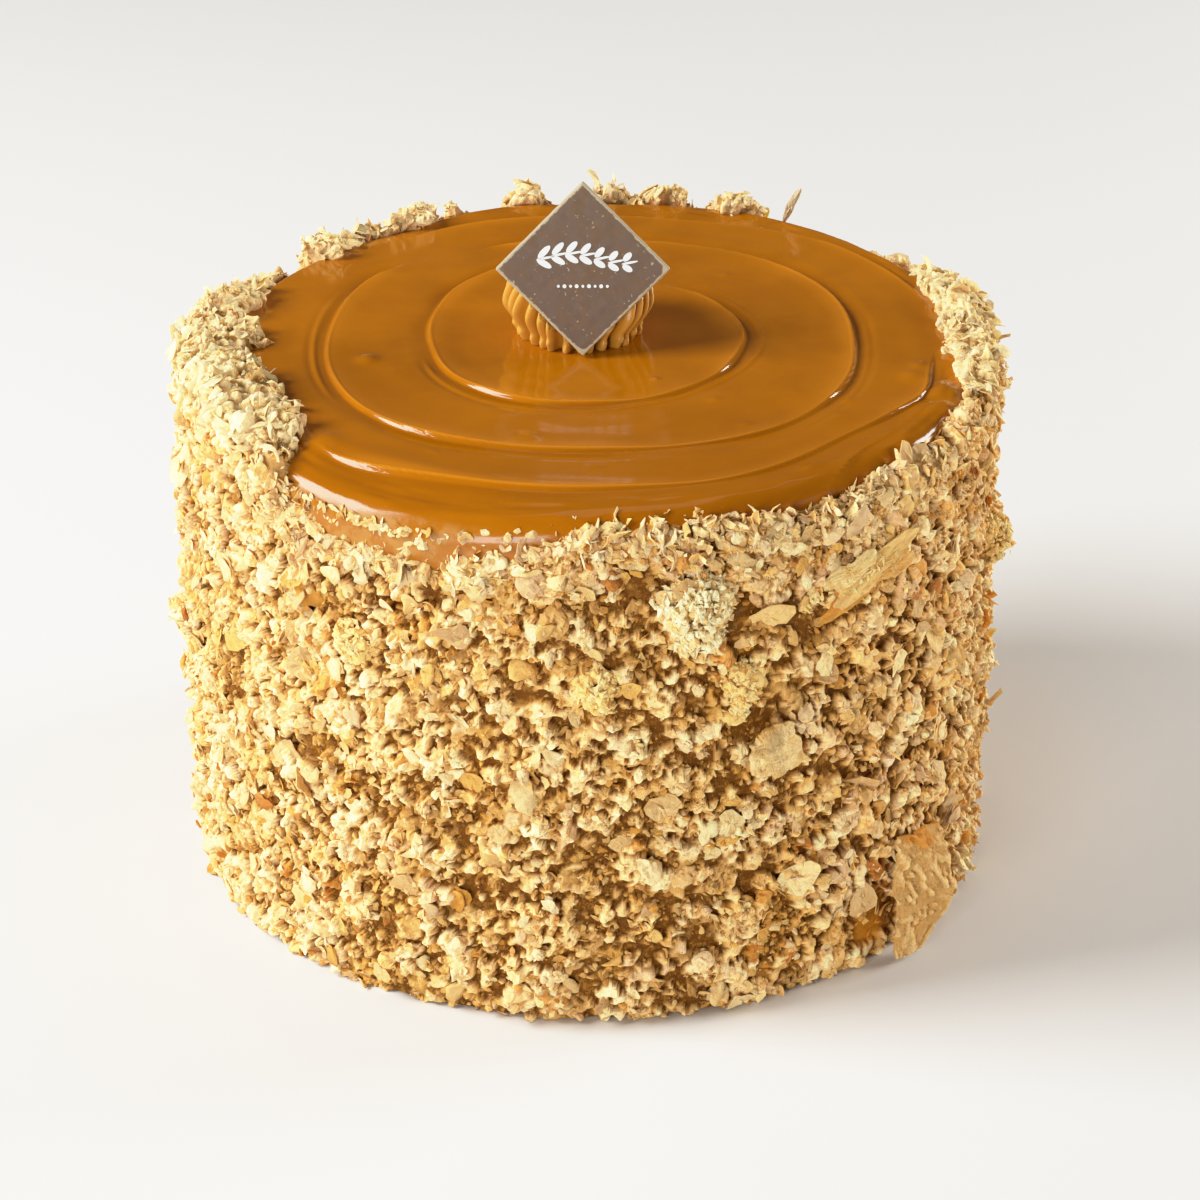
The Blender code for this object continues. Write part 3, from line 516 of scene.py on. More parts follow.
def split_quads(quads):
    """Turn quads into triangles."""
    return np.concatenate([quads[:, [0, 1, 2]], quads[:, [0, 2, 3]]])


def closed_rings(name, points, poles, values):
    """Closed piece from rings of points, from the upper pole down to the lower one."""
    rings, columns = points.shape[:2]
    count = rings * columns
    faces = np.concatenate([
        split_quads(ring_grid(rings, columns)[:, [0, 3, 2, 1]]),
        fan(count, 0, columns, True),
        fan(count + 1, count - columns, columns, False),
    ])
    laid = {}
    for key, numbers in values.items():
        flat = numbers.reshape((-1,) + numbers.shape[2:])
        laid[key] = np.concatenate([flat, flat[:1], flat[-1:]])
    return mesh_piece(name, np.concatenate([points.reshape(-1, 3), poles]), faces, laid)


def joined(groups):
    """Join groups of points, triangles and perhaps tints into one group."""
    moved, start = [], 0
    for points, faces, *tint in groups:
        moved.append((points, faces + start, *tint))
        start += len(points)
    return tuple(np.concatenate(part) for part in zip(*moved))


def turned_mesh(name, radius, height, values):
    """Closed piece from rings of radius and height."""
    columns = radius.shape[1]
    angle = np.radians(np.arange(columns) * 360.0 / columns)
    poles = [(0.0, 0.0, height[0].mean()), (0.0, 0.0, height[-1].mean())]
    return closed_rings(name, polar(radius, angle[None], height), poles, values)


# Shader writing

class Signal:
    """A number socket of a material that Python's signs work on."""

    def __init__(self, paint, socket):
        self.paint = paint
        self.socket = socket

    def maths(self, operation, first, second):
        """Add a Math node of two values."""
        return self.paint.node("ShaderNodeMath", {"operation": operation}, {0: first, 1: second})

    def __add__(self, other):
        return self.maths("ADD", self, other)

    __radd__ = __add__

    def __sub__(self, other):
        return self.maths("SUBTRACT", self, other)

    def __rsub__(self, other):
        return self.maths("SUBTRACT", other, self)

    def __mul__(self, other):
        return self.maths("MULTIPLY", self, other)

    __rmul__ = __mul__

    def step(self, low, high):
        """Ease from 0 at low to 1 at high."""
        return self.paint.node(
            "ShaderNodeMapRange", {"interpolation_type": "SMOOTHSTEP"},
            {"Value": self, "From Min": low, "From Max": high, "To Min": 0.0, "To Max": 1.0})


class Paint:
    """A material under construction."""

    def __init__(self, name):
        self.material = bpy.data.materials.new(name)
        self.material.use_nodes = True
        self.tree = self.material.node_tree
        self.shader = self.tree.nodes["Principled BSDF"]

    def node(self, kind, settings=None, values=None, output=0):
        """Add a node, set it up, feed its sockets and return one output."""
        made = self.tree.nodes.new(kind)
        for key, value in (settings or {}).items():
            setattr(made, key, value)
        for key, value in (values or {}).items():
            self.feed(made.inputs[key], value)
        return Signal(self, made.outputs[output])

    def feed(self, socket, value):
        """Link a signal to a socket, or set a plain value on it."""
        if isinstance(value, Signal):
            self.tree.links.new(value.socket, socket)
        else:
            socket.default_value = value

    def place(self):
        """Object coordinates."""
        return self.node("ShaderNodeTexCoord", output=3)

    def reading(self, name, output=2):
        """A value that the mesh holds at each point; output 0 is a colour."""
        return self.node("ShaderNodeAttribute", {"attribute_name": name}, output=output)

    def noise(self, scale, detail=3.0, roughness=0.5, distortion=0.0):
        """Noise between about 0 and 1."""
        values = {"Vector": self.place(), "Scale": scale, "Detail": detail,
                  "Roughness": roughness, "Distortion": distortion}
        return self.node("ShaderNodeTexNoise", {}, values)

    def mix(self, factor, first, second):
        """Mix two colours."""
        first, second = (
            value if isinstance(value, Signal) else (*value, 1.0) for value in (first, second))
        return self.node("ShaderNodeMix", {"data_type": "RGBA"}, {0: factor, 6: first, 7: second}, output=2)

    def bump(self, height, strength, distance):
        """Normal from a height."""
        return self.node("ShaderNodeBump", {},
                         {"Strength": strength, "Distance": distance, "Height": height})

    def set(self, **values):
        """Set sockets of the shader; underscores stand for spaces."""
        for key, value in values.items():
            self.feed(self.shader.inputs[key.replace("_", " ")], value)
        return self.material


def caramel_paint(name, light, dark, crest, roughness, gloss, thick=0.0):
    """Glossy soft caramel, with a painted highlight along thin crests, painted shade in troughs and a painted
    shade that darkens it towards the front.
    """
    paint = Paint(name)
    lift = paint.reading("lift")
    cloud = 0.6 * paint.noise(22.0, 2.0, 0.5) + 0.4 * paint.noise(75.0, 3.0, 0.6)
    base = paint.mix(cloud.step(0.38, 0.62) * 0.52, light, dark)
    y = paint.node("ShaderNodeSeparateXYZ", {}, {0: paint.place()}, output=1)
    # Painted shade: the base darkens towards the front (-Y) by the share that the thick argument gives.
    base = paint.mix(y.step(-0.005, -0.105) * thick, base, dark)
    # Painted highlight in the crest colour along the crests, and painted shade in the dark colour in the
    # troughs, both read from the lift values.
    base = paint.mix(lift.step(0.55, 1.0) * 0.75, base, crest)
    base = paint.mix(lift.step(0.45, 0.0) * 0.55, base, dark)
    base = paint.mix(paint.noise(700.0, 2.0, 0.5).step(0.70, 0.76) * 0.25, base, crest)
    # On the caramel that hangs over the edge at the front left: rougher streaks, and a paler colour there
    # that is a painted sheen.
    rubbed_and_sheen = paint.reading("smear_and_sheen") * (0.15 + 0.85 * paint.noise(170.0, 3.0, 0.6).step(0.40, 0.60))
    base = paint.mix(rubbed_and_sheen * 0.60, base, (0.40, 0.215, 0.052))
    satin = roughness + 0.10 * paint.noise(60.0, 2.0, 0.5) - 0.05 + 0.26 * rubbed_and_sheen
    normal = paint.bump(paint.noise(420.0, 3.0, 0.55), 0.12, 0.0002)
    return paint.set(Base_Color=base, Roughness=satin, Normal=normal, Specular_IOR_Level=gloss)


def crumb_paint(name, bump=0.55):
    """Dry pastry, coloured piece by piece, with toasted specks and pores darkened by painted shade in their
    hollows.
    """
    paint = Paint(name)
    tint = paint.reading("tint", 0)
    pores = 0.6 * paint.noise(750.0, 3.0, 0.6) + 0.4 * paint.noise(2300.0, 2.0, 0.6)
    toast = paint.noise(330.0, 3.0, 0.6)
    base = paint.mix(toast.step(0.52, 0.70) * 0.32, tint, (0.74, 0.39, 0.076))
    # Painted shade: the low parts of the pore relief, the same noise as the bump, are darker.
    base = paint.mix(pores.step(0.50, 0.36) * 0.42, base, (0.54, 0.245, 0.030))
    return paint.set(
        Base_Color=base, Roughness=0.56 + 0.2 * toast, Normal=paint.bump(pores, bump, 0.0008),
        Specular_IOR_Level=0.12, Subsurface_Weight=0.34, Subsurface_Radius=(1.0, 0.62, 0.26),
        Subsurface_Scale=0.0011)


def coat_paint():
    """Caramel coat with patches of crumb dust."""
    paint = Paint("crumbed_caramel_coat")
    tint = paint.reading("tint", 0)
    dust = paint.noise(1100.0, 3.0, 0.65).step(0.52, 0.66)
    base = paint.mix(dust * 0.40, tint, (0.50, 0.26, 0.07))
    rough = 0.34 + 0.45 * dust
    normal = paint.bump(paint.noise(700.0, 4.0, 0.6), 0.6, 0.0007)
    return paint.set(Base_Color=base, Roughness=rough, Normal=normal, Specular_IOR_Level=0.2)


def chocolate_paint():
    """Dull chocolate with pale flecks and worn edges."""
    paint = Paint("dull_chocolate")
    wear = paint.reading("wear")
    cloud = paint.noise(240.0, 3.0, 0.6)
    base = paint.mix(cloud.step(0.46, 0.64) * 0.5, colours().chocolate, (0.160, 0.088, 0.038))
    fleck = paint.noise(1150.0, 2.0, 0.5, 0.6).step(0.665, 0.70)
    gathered = paint.noise(160.0, 2.0, 0.5).step(0.42, 0.60)
    base = paint.mix(fleck * gathered * 0.85, base, (0.50, 0.42, 0.26))
    ragged = (wear + 0.55 * paint.noise(900.0, 3.0, 0.6) - 0.28).step(0.52, 0.66)
    base = paint.mix(ragged * 0.9, base, (0.47, 0.40, 0.27))
    normal = paint.bump(paint.noise(800.0, 3.0, 0.6), 0.25, 0.0002)
    return paint.set(Base_Color=base, Roughness=0.55, Normal=normal, Specular_IOR_Level=0.35)


def print_paint():
    """White food colour with a faint grain."""
    paint = Paint("white_food_colour")
    grain = paint.noise(900.0, 2.0, 0.5)
    base = paint.mix(grain.step(0.35, 0.75), (0.78, 0.86, 0.88), (0.86, 0.92, 0.93))
    return paint.set(Base_Color=base, Roughness=0.6)


def floor_paint():
    """Pale matt studio floor."""
    paint = Paint("studio_floor")
    grain = paint.noise(6.0, 2.0, 0.5)
    base = colours().floor
    return paint.set(Base_Color=paint.mix(grain, base, [part * 0.985 for part in base]), Roughness=0.85)


# Shapes of single crumbs, each a list of points and triangles of unit size

def ball_shape(detail):
    """Points and triangles of an icosphere made by a modelling primitive."""
    clear_selection()
    bpy.ops.mesh.primitive_ico_sphere_add(subdivisions=detail, radius=1.0, location=(0.0, 0.0, 0.0))
    item = bpy.context.object
    mesh = item.data
    points = np.array([vert.co[:] for vert in mesh.vertices])
    faces = np.array([face.vertices[:] for face in mesh.polygons])
    bpy.data.objects.remove(item)
    bpy.data.meshes.remove(mesh)
    return points, faces


OCTAHEDRON = np.array([(1.0, 0.0, 0.0), (-1.0, 0.0, 0.0), (0.0, 1.0, 0.0),
                       (0.0, -1.0, 0.0), (0.0, 0.0, 1.0), (0.0, 0.0, -1.0)])
OCTAHEDRON_FACES = np.array([(0, 2, 4), (2, 1, 4), (1, 3, 4), (3, 0, 4),
                             (2, 0, 5), (1, 2, 5), (3, 1, 5), (0, 3, 5)])


def any_turn(rng):
    """A random rotation matrix."""
    turn = np.linalg.qr(rng.normal(size=(3, 3)))[0]
    if np.linalg.det(turn) < 0.0:
        turn[:, 0] = -turn[:, 0]
    return turn


def wave_noise(points, rng, frequency):
    """Smooth random relief of about unit height at points of space."""
    ways = rng.normal(size=(7, 3))
    ways = ways / np.linalg.norm(ways, axis=1)[:, None] * frequency
    phase = rng.uniform(0.0, math.tau, 7)
    return np.sin(points @ ways.T + phase).sum(axis=1) / 2.6


def craggy(points, rng, depth):
    """Roughen a ball by three sizes of relief."""
    rough = wave_noise(points, rng, 2.4)
    sharp = 1.0 - 2.0 * np.abs(wave_noise(points, rng, 5.5))
    fine = 1.0 - 2.0 * np.abs(wave_noise(points, rng, 12.0))
    factor = 1.0 + depth * (rough + 0.42 * sharp + 0.24 * fine)
    return points * np.clip(factor, 0.35, 1.9)[:, None]


def splinter_shapes(rng, count):
    """The finest crumbs, uneven splinters of eight faces."""
    out = []
    for _index in range(count):
        points = OCTAHEDRON * rng.uniform(0.45, 1.3, (6, 1)) + rng.uniform(-0.15, 0.15, (6, 3))
        out.append((points * (1.0, rng.uniform(0.45, 0.9), rng.uniform(0.3, 0.7)), OCTAHEDRON_FACES))
    return out


def grain_shapes(rng, count):
    """Small broken crumbs of twenty faces."""
    points, faces = ball_shape(1)
    out = []
    for _index in range(count):
        uneven = points * rng.uniform(0.55, 1.3, len(points))[:, None]
        out.append((uneven * (1.1, rng.uniform(0.6, 1.0), rng.uniform(0.45, 0.85)), faces))
    return out


def lump_shapes(rng, count, detail, depth):
    """Craggy pieces of pastry and nut."""
    points, faces = ball_shape(detail)
    out = []
    for _index in range(count):
        squeeze = (rng.uniform(0.85, 1.25), rng.uniform(0.65, 1.0), rng.uniform(0.5, 0.8))
        out.append((craggy(points, rng, depth) * squeeze, faces))
    return out


def ragged_shapes(rng, count, spikes):
    """Crumbly pieces: a rough core bristling with splinters and torn bits."""
    ball, net = ball_shape(2)
    out = []
    for _index in range(count):
        squeeze = np.array([rng.uniform(0.9, 1.3), rng.uniform(0.7, 1.0), rng.uniform(0.5, 0.8)])
        bits = [(craggy(ball, rng, 0.26) * 0.66 * squeeze, net)]
        for _spike in range(spikes):
            way = rng.normal(size=3)
            way /= np.linalg.norm(way)
            slim = (1.0, rng.uniform(0.5, 0.9), rng.uniform(0.25, 0.5))
            bit = OCTAHEDRON * rng.uniform(0.5, 1.3, (6, 1)) * slim * rng.uniform(0.24, 0.50)
            bit = bit @ any_turn(rng).T + way * squeeze * rng.uniform(0.45, 0.85)
            bits.append((bit, OCTAHEDRON_FACES))
        out.append(joined(bits))
    return out


def plate_shape(rng, sides, rings, thick, curl, ragged):
    """One thin curled flake with a torn outline: a centre and rings of points, upper and lower."""
    ring = np.arange(sides)
    way = (ring + rng.uniform(-0.3, 0.3, sides)) * math.tau / sides
    outline = 1.0 + 0.16 * np.sin(2.0 * way + rng.uniform(0.0, 6.0)) + 0.12 * np.sin(
        3.0 * way + rng.uniform(0.0, 6.0)) + ragged * rng.uniform(-1.0, 0.6, sides)
    share = np.linspace(0.0, 1.0, rings + 1)[1:, None]
    x, y = (np.concatenate([[0.0], (share * outline * ray).ravel()]) for ray in (np.cos(way), np.sin(way)))
    bend = rng.uniform(-1.0, 1.0, 3)
    wave = curl * (bend[0] * x * x + bend[1] * y * y + bend[2] * x * y) + 0.04 * rng.normal(size=x.shape)
    depth = np.concatenate([[1.0], np.repeat(1.0 - 0.6 * share[:, 0] ** 3, sides)]) * thick
    points = np.concatenate([np.stack([x, y, wave + side], axis=-1) for side in (depth, -depth)])
    last = 1 + (rings - 1) * sides
    half = len(x)

    def band(start, step):
        """Triangles from the ring that starts at one point to the ring a step further."""
        here, after = start + ring, start + (ring + 1) % sides
        return split_quads(np.stack([here, here + step, after + step, after], axis=-1))

    upper = np.concatenate([fan(0, 1, sides, True)] + [band(start, sides) for start in range(1, last, sides)])
    return points, np.concatenate([upper, upper[:, ::-1] + half, band(last, half)])


def flake_shapes(rng, count, sides, rings, slim, thick, curl, ragged):
    """Thin flakes, slimmer than long."""
    out = []
    for _index in range(count):
        points, faces = plate_shape(rng, sides, rings, thick, curl, ragged)
        out.append((points * (1.0, slim * rng.uniform(0.8, 1.25), 1.0), faces))
    return out


def stacked_shapes(rng, count, layers):
    """Broken pieces of puff pastry: several thin leaves on top of each other."""
    out = []
    for _index in range(count):
        leaves = []
        for layer in range(layers):
            leaf, net = plate_shape(rng, 12, 2, 0.05, 0.16, 0.22)
            grow = rng.uniform(0.70, 1.0)
            shift = (rng.uniform(-0.16, 0.16), rng.uniform(-0.14, 0.14), 0.15 * layer)
            leaves.append((leaf * (grow, grow * rng.uniform(0.6, 0.8), 1.0) + shift, net))
        out.append(joined(leaves))
    return out


# Where crumbs lie

CRUMB_TONES = np.array([
    (255, 223, 170), (250, 210, 149), (238, 191, 120), (213, 153, 79),
    (222, 186, 140), (240, 213, 176), (182, 116, 52),
]) / 255.0
CRUMB_SHARES = np.array([0.37, 0.35, 0.15, 0.05, 0.06, 0.01, 0.01])
BROAD_TONES = np.array([
    (250, 218, 160), (238, 196, 130), (218, 180, 124), (206, 170, 120), (232, 176, 96),
]) / 255.0
# Colours for low places: crumbs soaking in caramel, darkened further by painted shade, and the painted warm
# shade of light glowing in the hollows between crumbs and inside the clumps. The amber is caramel showing in
# one patch at the foot.
SOAKED_AND_SHADED = np.array([0.34, 0.130, 0.009])
GOLDEN_SHADE = np.array([0.80, 0.440, 0.086])
AMBER = np.array([0.58, 0.215, 0.012])
CLUMP_SHADE = np.array([0.93, 0.53, 0.135])

# Places on the side with few crumbs, where the caramel shows: angle, height, half size
BARE_SPOTS = (
    (-83.0, 118.0, 5.0), (-69.5, 107.0, 5.0), (-62.0, 103.0, 4.5), (-46.0, 8.0, 6.5),
    (-88.5, 49.0, 2.2), (-98.0, 88.0, 3.0), (-119.0, 20.0, 3.5), (-70.0, 78.0, 3.5),
    (-75.0, 20.0, 4.0), (-56.0, 60.0, 3.0), (-131.0, 61.0, 3.0), (-105.0, 65.0, 2.5),
)


def linear(value):
    """Turn display values into linear ones."""
    value = np.asarray(value, dtype=np.float64)
    return np.where(value <= 0.04045, value / 12.92, ((value + 0.055) / 1.055) ** 2.4)


def shown(*values):
    """Linear colour of display values from 0 to 255."""
    return linear(np.array(values) / 255.0)


def patch(angle, height, at, level, size):
    """A round bell of height 1 at a place of the side."""
    across = np.radians(wrapped(angle - at)) * SIDE
    return np.exp(-((across ** 2 + (height - level) ** 2) / size ** 2))


def bare_share(angle, height):
    """Share of crumbs that stay away at a place of the side, from 0 to 1."""
    share = np.zeros_like(angle)
    for spot in BARE_SPOTS:
        share = np.maximum(share, patch(angle, height, *spot))
    return share


class Spots:
    """Places of many crumbs, their outward directions and how far they lie over the coat."""

    def __init__(self, place, outward, depth):
        self.place = place
        self.outward = outward
        self.depth = depth

    def join(self, other):
        """Return these places with others after them."""
        pairs = zip(vars(self).values(), vars(other).values())
        return Spots(*(np.concatenate(pair) for pair in pairs))


# Crumb bed: a fine grid that runs up the side, over the rim and in to the edge of the heaps

BED_COLUMNS = 1200
SIDE_ROWS = 232
SIDE_TOP = 116.0
CREST_ROWS = 84
BED_ROWS = SIDE_ROWS + CREST_ROWS
BED_SECTORS = 5
BED_RADIUS = 100.2
BED_STEP = math.tau * BED_RADIUS / BED_COLUMNS
BED_INNER = 94.5
BED_ROW = 0.36
GRAIN_COVER = 2.5
GRAIN_BATCH = 3000
GRAIN_MARGIN = 1.3

# Clumps that the crumbs gather in, wide and fine: size, height, share of flat places between them
CLUMPS = ((9.0, 1.5, 0.14), (4.4, 1.3, 0.26))

# Kinds of grain in the bed: number, least and greatest half size, dome, slope, spread of levels
BED_GRAINS = (
    (20000, 0.40, 0.90, 0.14, 0.40, 0.5),
    (15000, 0.80, 1.70, 0.16, 0.34, 0.8),
    (5200, 1.30, 2.50, 0.18, 0.26, 1.1),
    (560, 2.20, 3.60, 0.20, 0.20, 1.3),
)

# Swellings of the crumb wall: angle, height, half size and height of the swelling
BED_SWELLS = (
    (-172.0, 67.0, 7.0, 4.0), (-170.0, 103.0, 9.0, 1.6), (-166.0, 40.0, 8.0, 1.4),
    (-8.0, 92.0, 7.0, 3.6), (-10.0, 60.0, 6.0, 2.2), (-5.0, 32.0, 6.0, 2.0),
    (-122.0, 96.0, 7.0, 1.0), (-88.0, 92.0, 6.0, 1.0), (-76.0, 110.0, 9.0, 1.4),
    (-52.0, 112.0, 9.0, 1.0), (-100.0, 12.0, 9.0, 1.0), (-84.0, 28.0, 7.0, 0.8),
    (-143.0, 108.0, 9.0, 1.0), (-30.0, 118.0, 9.0, 1.0), (95.0, 80.0, 9.0, 1.4),
    (150.0, 50.0, 8.0, 1.2), (40.0, 100.0, 8.0, 1.2), (60.0, 40.0, 8.0, 1.0),
    (-64.6, 70.8, 8.0, -1.8), (-69.2, 88.5, 8.0, -1.8), (-38.0, 14.0, 13.0, -1.6),
    (152.0, 136.0, 11.0, -3.2), (108.0, 137.0, 6.0, -1.6), (47.0, 136.0, 16.0, -2.2),
)
AMBER_PATCH = (-46.0, 9.0)
BED_CACHE = {}


def bed_base():
    """Radius and height of the bed's ground, rows from the foot to the inner end, and path lengths."""
    angle = np.arange(BED_COLUMNS) * 360.0 / BED_COLUMNS
    level = np.zeros_like(angle)
    above = rim_top(angle) - ICING_LEVEL
    at_back = smoothstep(np.sin(np.radians(angle)) * 3.0 + 0.5)
    bare_rim = at_back * smoothstep((2.5 - above) / 2.5)
    top = rim_top(angle) - GRAIN_COVER - 1.6 * bare_rim
    top = top + 0.9 * side_noise(angle, level, 9.0, 21)
    heaped = smoothstep((above + 1.5) / 3.5)
    ragged = 1.7 * side_noise(angle, level, 8.0, 77)
    inner = BED_INNER + heaped * (CARAMEL_EDGE - rim_reach(angle) - ragged - BED_INNER)
    floor = (top - 3.0) + heaped * (ICING_LEVEL - 2.2 - top + 3.0)
    bend = np.linspace(0.0, 0.5 * math.pi, 12)[1:, None]
    share = np.linspace(0.0, 1.0, 30)[1:, None]
    crest = BED_RADIUS - 3.0
    over = np.zeros((1, BED_COLUMNS))
    radius = np.concatenate([
        BED_RADIUS + over,
        crest + 3.0 * np.cos(bend) + over,
        crest + (inner - crest)[None] * share,
    ])
    height = np.concatenate([
        SIDE_TOP + over,
        (top - 3.0)[None] + 3.0 * np.sin(bend),
        floor[None] + (top - floor)[None] * (1.0 - share ** 2.3),
    ])
    run = np.hypot(np.diff(radius, axis=0), np.diff(height, axis=0))
    run = np.concatenate([np.zeros((1, BED_COLUMNS)), np.cumsum(run, axis=0)])
    side = np.arange(SIDE_ROWS)[:, None] / SIDE_ROWS * SIDE_TOP + over
    even = np.arange(CREST_ROWS) / (CREST_ROWS - 1.0)

    def evened(values):
        """Values of the crest's rows, evenly spaced along each column."""
        columns = [np.interp(even * run[-1, k], run[:, k], values[:, k]) for k in range(BED_COLUMNS)]
        return np.stack(columns, axis=1)

    laid_radius = np.concatenate([BED_RADIUS - 1.2 * smoothstep((6.0 - side) / 6.0), evened(radius)])
    laid_height = np.concatenate([side, evened(height)])
    length = np.concatenate([side, SIDE_TOP + even[:, None] * run[-1][None]])
    return laid_radius - slump(angle[None], laid_height), laid_height, length


def bed_swell(angle, height):
    """Soft rise and fall of the bed over the side, in millimetres."""
    rise = 0.55 * side_noise(angle, height, 17.0, 31)
    for at, level, size, lift in BED_SWELLS:
        rise = rise + lift * patch(angle, height, at, level, size)
    return rise


def clump_map(angle, length, cell, flat, seed):
    """Rounded clumps over the bed, from 0 between them to 1 on top, and each clump's own number."""
    turn = max(3, int(round(math.tau * SIDE / cell)))
    x, y = angle / 360.0 * turn, length / cell
    for weight, share, first in ((0.34, 0.5, 1), (0.14, 0.2, 6)):
        x = x + weight * side_noise(angle, length, share * cell, seed + first)
        y = y + weight * side_noise(angle, length, share * cell, seed + first + 1)
    column = np.floor(x).astype(int)
    row = np.floor(y).astype(int)
    nearest = np.full(x.shape, 9.0)
    second = np.full(x.shape, 9.0)
    pick = np.zeros(x.shape)
    for i in (-1, 0, 1):
        for j in (-1, 0, 1):
            at_x, at_y, own = (
                lattice_value(column + i, row + j, seed + number, turn) for number in (3, 4, 5))
            away = np.hypot(x - (column + i + 0.5 + 0.42 * at_x), y - (row + j + 0.5 + 0.42 * at_y))
            second = np.where(away < nearest, nearest, np.minimum(second, away))
            pick = np.where(away < nearest, 0.5 + 0.5 * own, pick)
            nearest = np.minimum(nearest, away)
    rise = smoothstep((second - nearest) / 0.36)
    return rise * smoothstep((pick - flat) / 0.45), pick


def bed_gaps(angle, height):
    """How far the crumbs thin out over the caramel, from 0 to 1."""
    thin = 0.20 + 0.50 * swell(wrapped(angle + 55.0), 0.0, 36.0) * swell(height, 66.0, 40.0)
    thin = thin + 0.20 * swell(wrapped(angle - 50.0), 0.0, 50.0) * swell(height, 60.0, 40.0)
    cell = 0.60 * side_noise(angle, height, 6.0, 51) + 0.45 * side_noise(angle, height, 2.8, 52)
    cell = cell + 0.30 * side_noise(angle, height, 15.0, 53)
    return smoothstep((cell - 0.56 + thin) / 0.30)


def lay_grains(rng, kind, bed, number):
    """Lay one kind of overlapping grains on the bed and keep the highest of them everywhere."""
    count, small, large, dome, slope, spread = kind
    column = rng.integers(0, BED_COLUMNS, count * 2)
    row = rng.integers(0, BED_ROWS, count * 2)
    kept = rng.uniform(0.0, 1.0, count * 2) > 0.88 * bed["gaps"][row, column]
    column, row = column[kept][:count], row[kept][:count]
    size = small + (large - small) * rng.uniform(0.0, 1.0, count) ** 1.8
    slim = rng.uniform(0.55, 1.0, count)
    spin = rng.uniform(0.0, math.pi, count)
    phase = rng.uniform(0.0, math.tau, (3, count))
    lean_a, lean_b = rng.normal(0.0, slope, count), rng.normal(0.0, slope, count)
    calm = np.where(size < 1.3, 1.0 - 0.62 * bed["clump"][row, column], 1.0)
    thick = dome * rng.uniform(0.5, 1.3, count) * size ** 0.6 * calm
    lift = spread * rng.uniform(0.0, 1.0, count) * calm
    flatness = np.where(rng.uniform(0.0, 1.0, count) < 0.75, 5.0, 2.0)
    offset_a, offset_b = rng.uniform(-0.25, 0.25, count), rng.uniform(-0.25, 0.25, count)
    wide = int(math.ceil(large * GRAIN_MARGIN / BED_STEP))
    tall = int(math.ceil(large * GRAIN_MARGIN / BED_ROW))
    shift_column = np.arange(-wide, wide + 1)[None, None, :]
    shift_row = np.arange(-tall, tall + 1)[None, :, None]
    for first in range(0, count, GRAIN_BATCH):
        part = slice(first, min(first + GRAIN_BATCH, count))

        def each(values):
            """Give this part of the grains' values two more axes."""
            return values[part, None, None]

        cell_row = each(row) + shift_row + 0 * shift_column
        cell_column = (each(column) + shift_column + 0 * shift_row) % BED_COLUMNS
        there = (np.clip(cell_row, 0, BED_ROWS - 1), cell_column)
        home = (each(row), each(column))
        move = [bed[axis][there] - bed[axis][home] for axis in ("x", "y", "z")]
        across = sum(step * bed[name][home] for step, name in zip(move, ("ax", "ay")))
        along = sum(step * bed[name][home] for step, name in zip(move, ("bx", "by", "bz")))
        across = across + each(offset_a)
        along = along + each(offset_b)
        cosine, sine = each(np.cos(spin)), each(np.sin(spin))
        a = across * cosine + along * sine
        b = along * cosine - across * sine
        reach_a, reach_b = each(size), each(size * slim)
        way = np.arctan2(b / reach_b, a / reach_a)
        waves = ((0.15, 2.0, 0), (0.12, 3.0, 1), (0.10, 5.0, 2))
        outline = sum((weight * np.sin(turns * way + each(phase[at])) for weight, turns, at in waves), 1.0)
        away = np.hypot(a / reach_a, b / reach_b) / outline
        inside = (away < 1.0) & (cell_row >= 0) & (cell_row < BED_ROWS)
        top = 0.35 * bed["ground"][home] + 0.65 * bed["ground"][there] + each(lift)
        top = top + each(lean_a) * a + each(lean_b) * b
        top = top + each(thick) * (1.0 - away ** each(flatness))
        grain = (each(np.arange(count)) + 0 * cell_row)[inside]
        cell = (there[0] * BED_COLUMNS + cell_column)[inside]
        top = top[inside]
        np.maximum.at(bed["height"], cell, top)
        wins = top >= bed["height"][cell] - 1e-9
        bed["owner"][cell[wins]] = number + grain[wins]
    bed["homes"].append(row * BED_COLUMNS + column)
    return count


def paler(tint, height):
    """Lighten the crumbs that lie loose on the rim, clear of the caramel."""
    share = 0.52 * smoothstep((height - ICING_LEVEL + 3.0) / 5.0)
    return mixed(tint, shown(255, 236, 186), share[..., None])


def soften(relief):
    """Lower steep steps of the relief, and leave its gentle slopes as they are."""
    soft = 0.5 * relief + 0.25 * (np.roll(relief, 1, axis=1) + np.roll(relief, -1, axis=1))
    padded = np.concatenate([soft[:1], soft, soft[-1:]])
    soft = 0.5 * soft + 0.25 * (padded[:-2] + padded[2:])
    return soft + np.clip(relief - soft, -0.22, 0.22)


def cavity(relief):
    """How far each place lies below its near surroundings, in millimetres."""
    total = sum(np.roll(relief, shift, axis=1) for shift in range(-3, 4))
    padded = np.concatenate([total[:1]] * 3 + [total] + [total[-1:]] * 3)
    return sum(padded[step:step + len(relief)] for step in range(7)) / 49.0 - relief


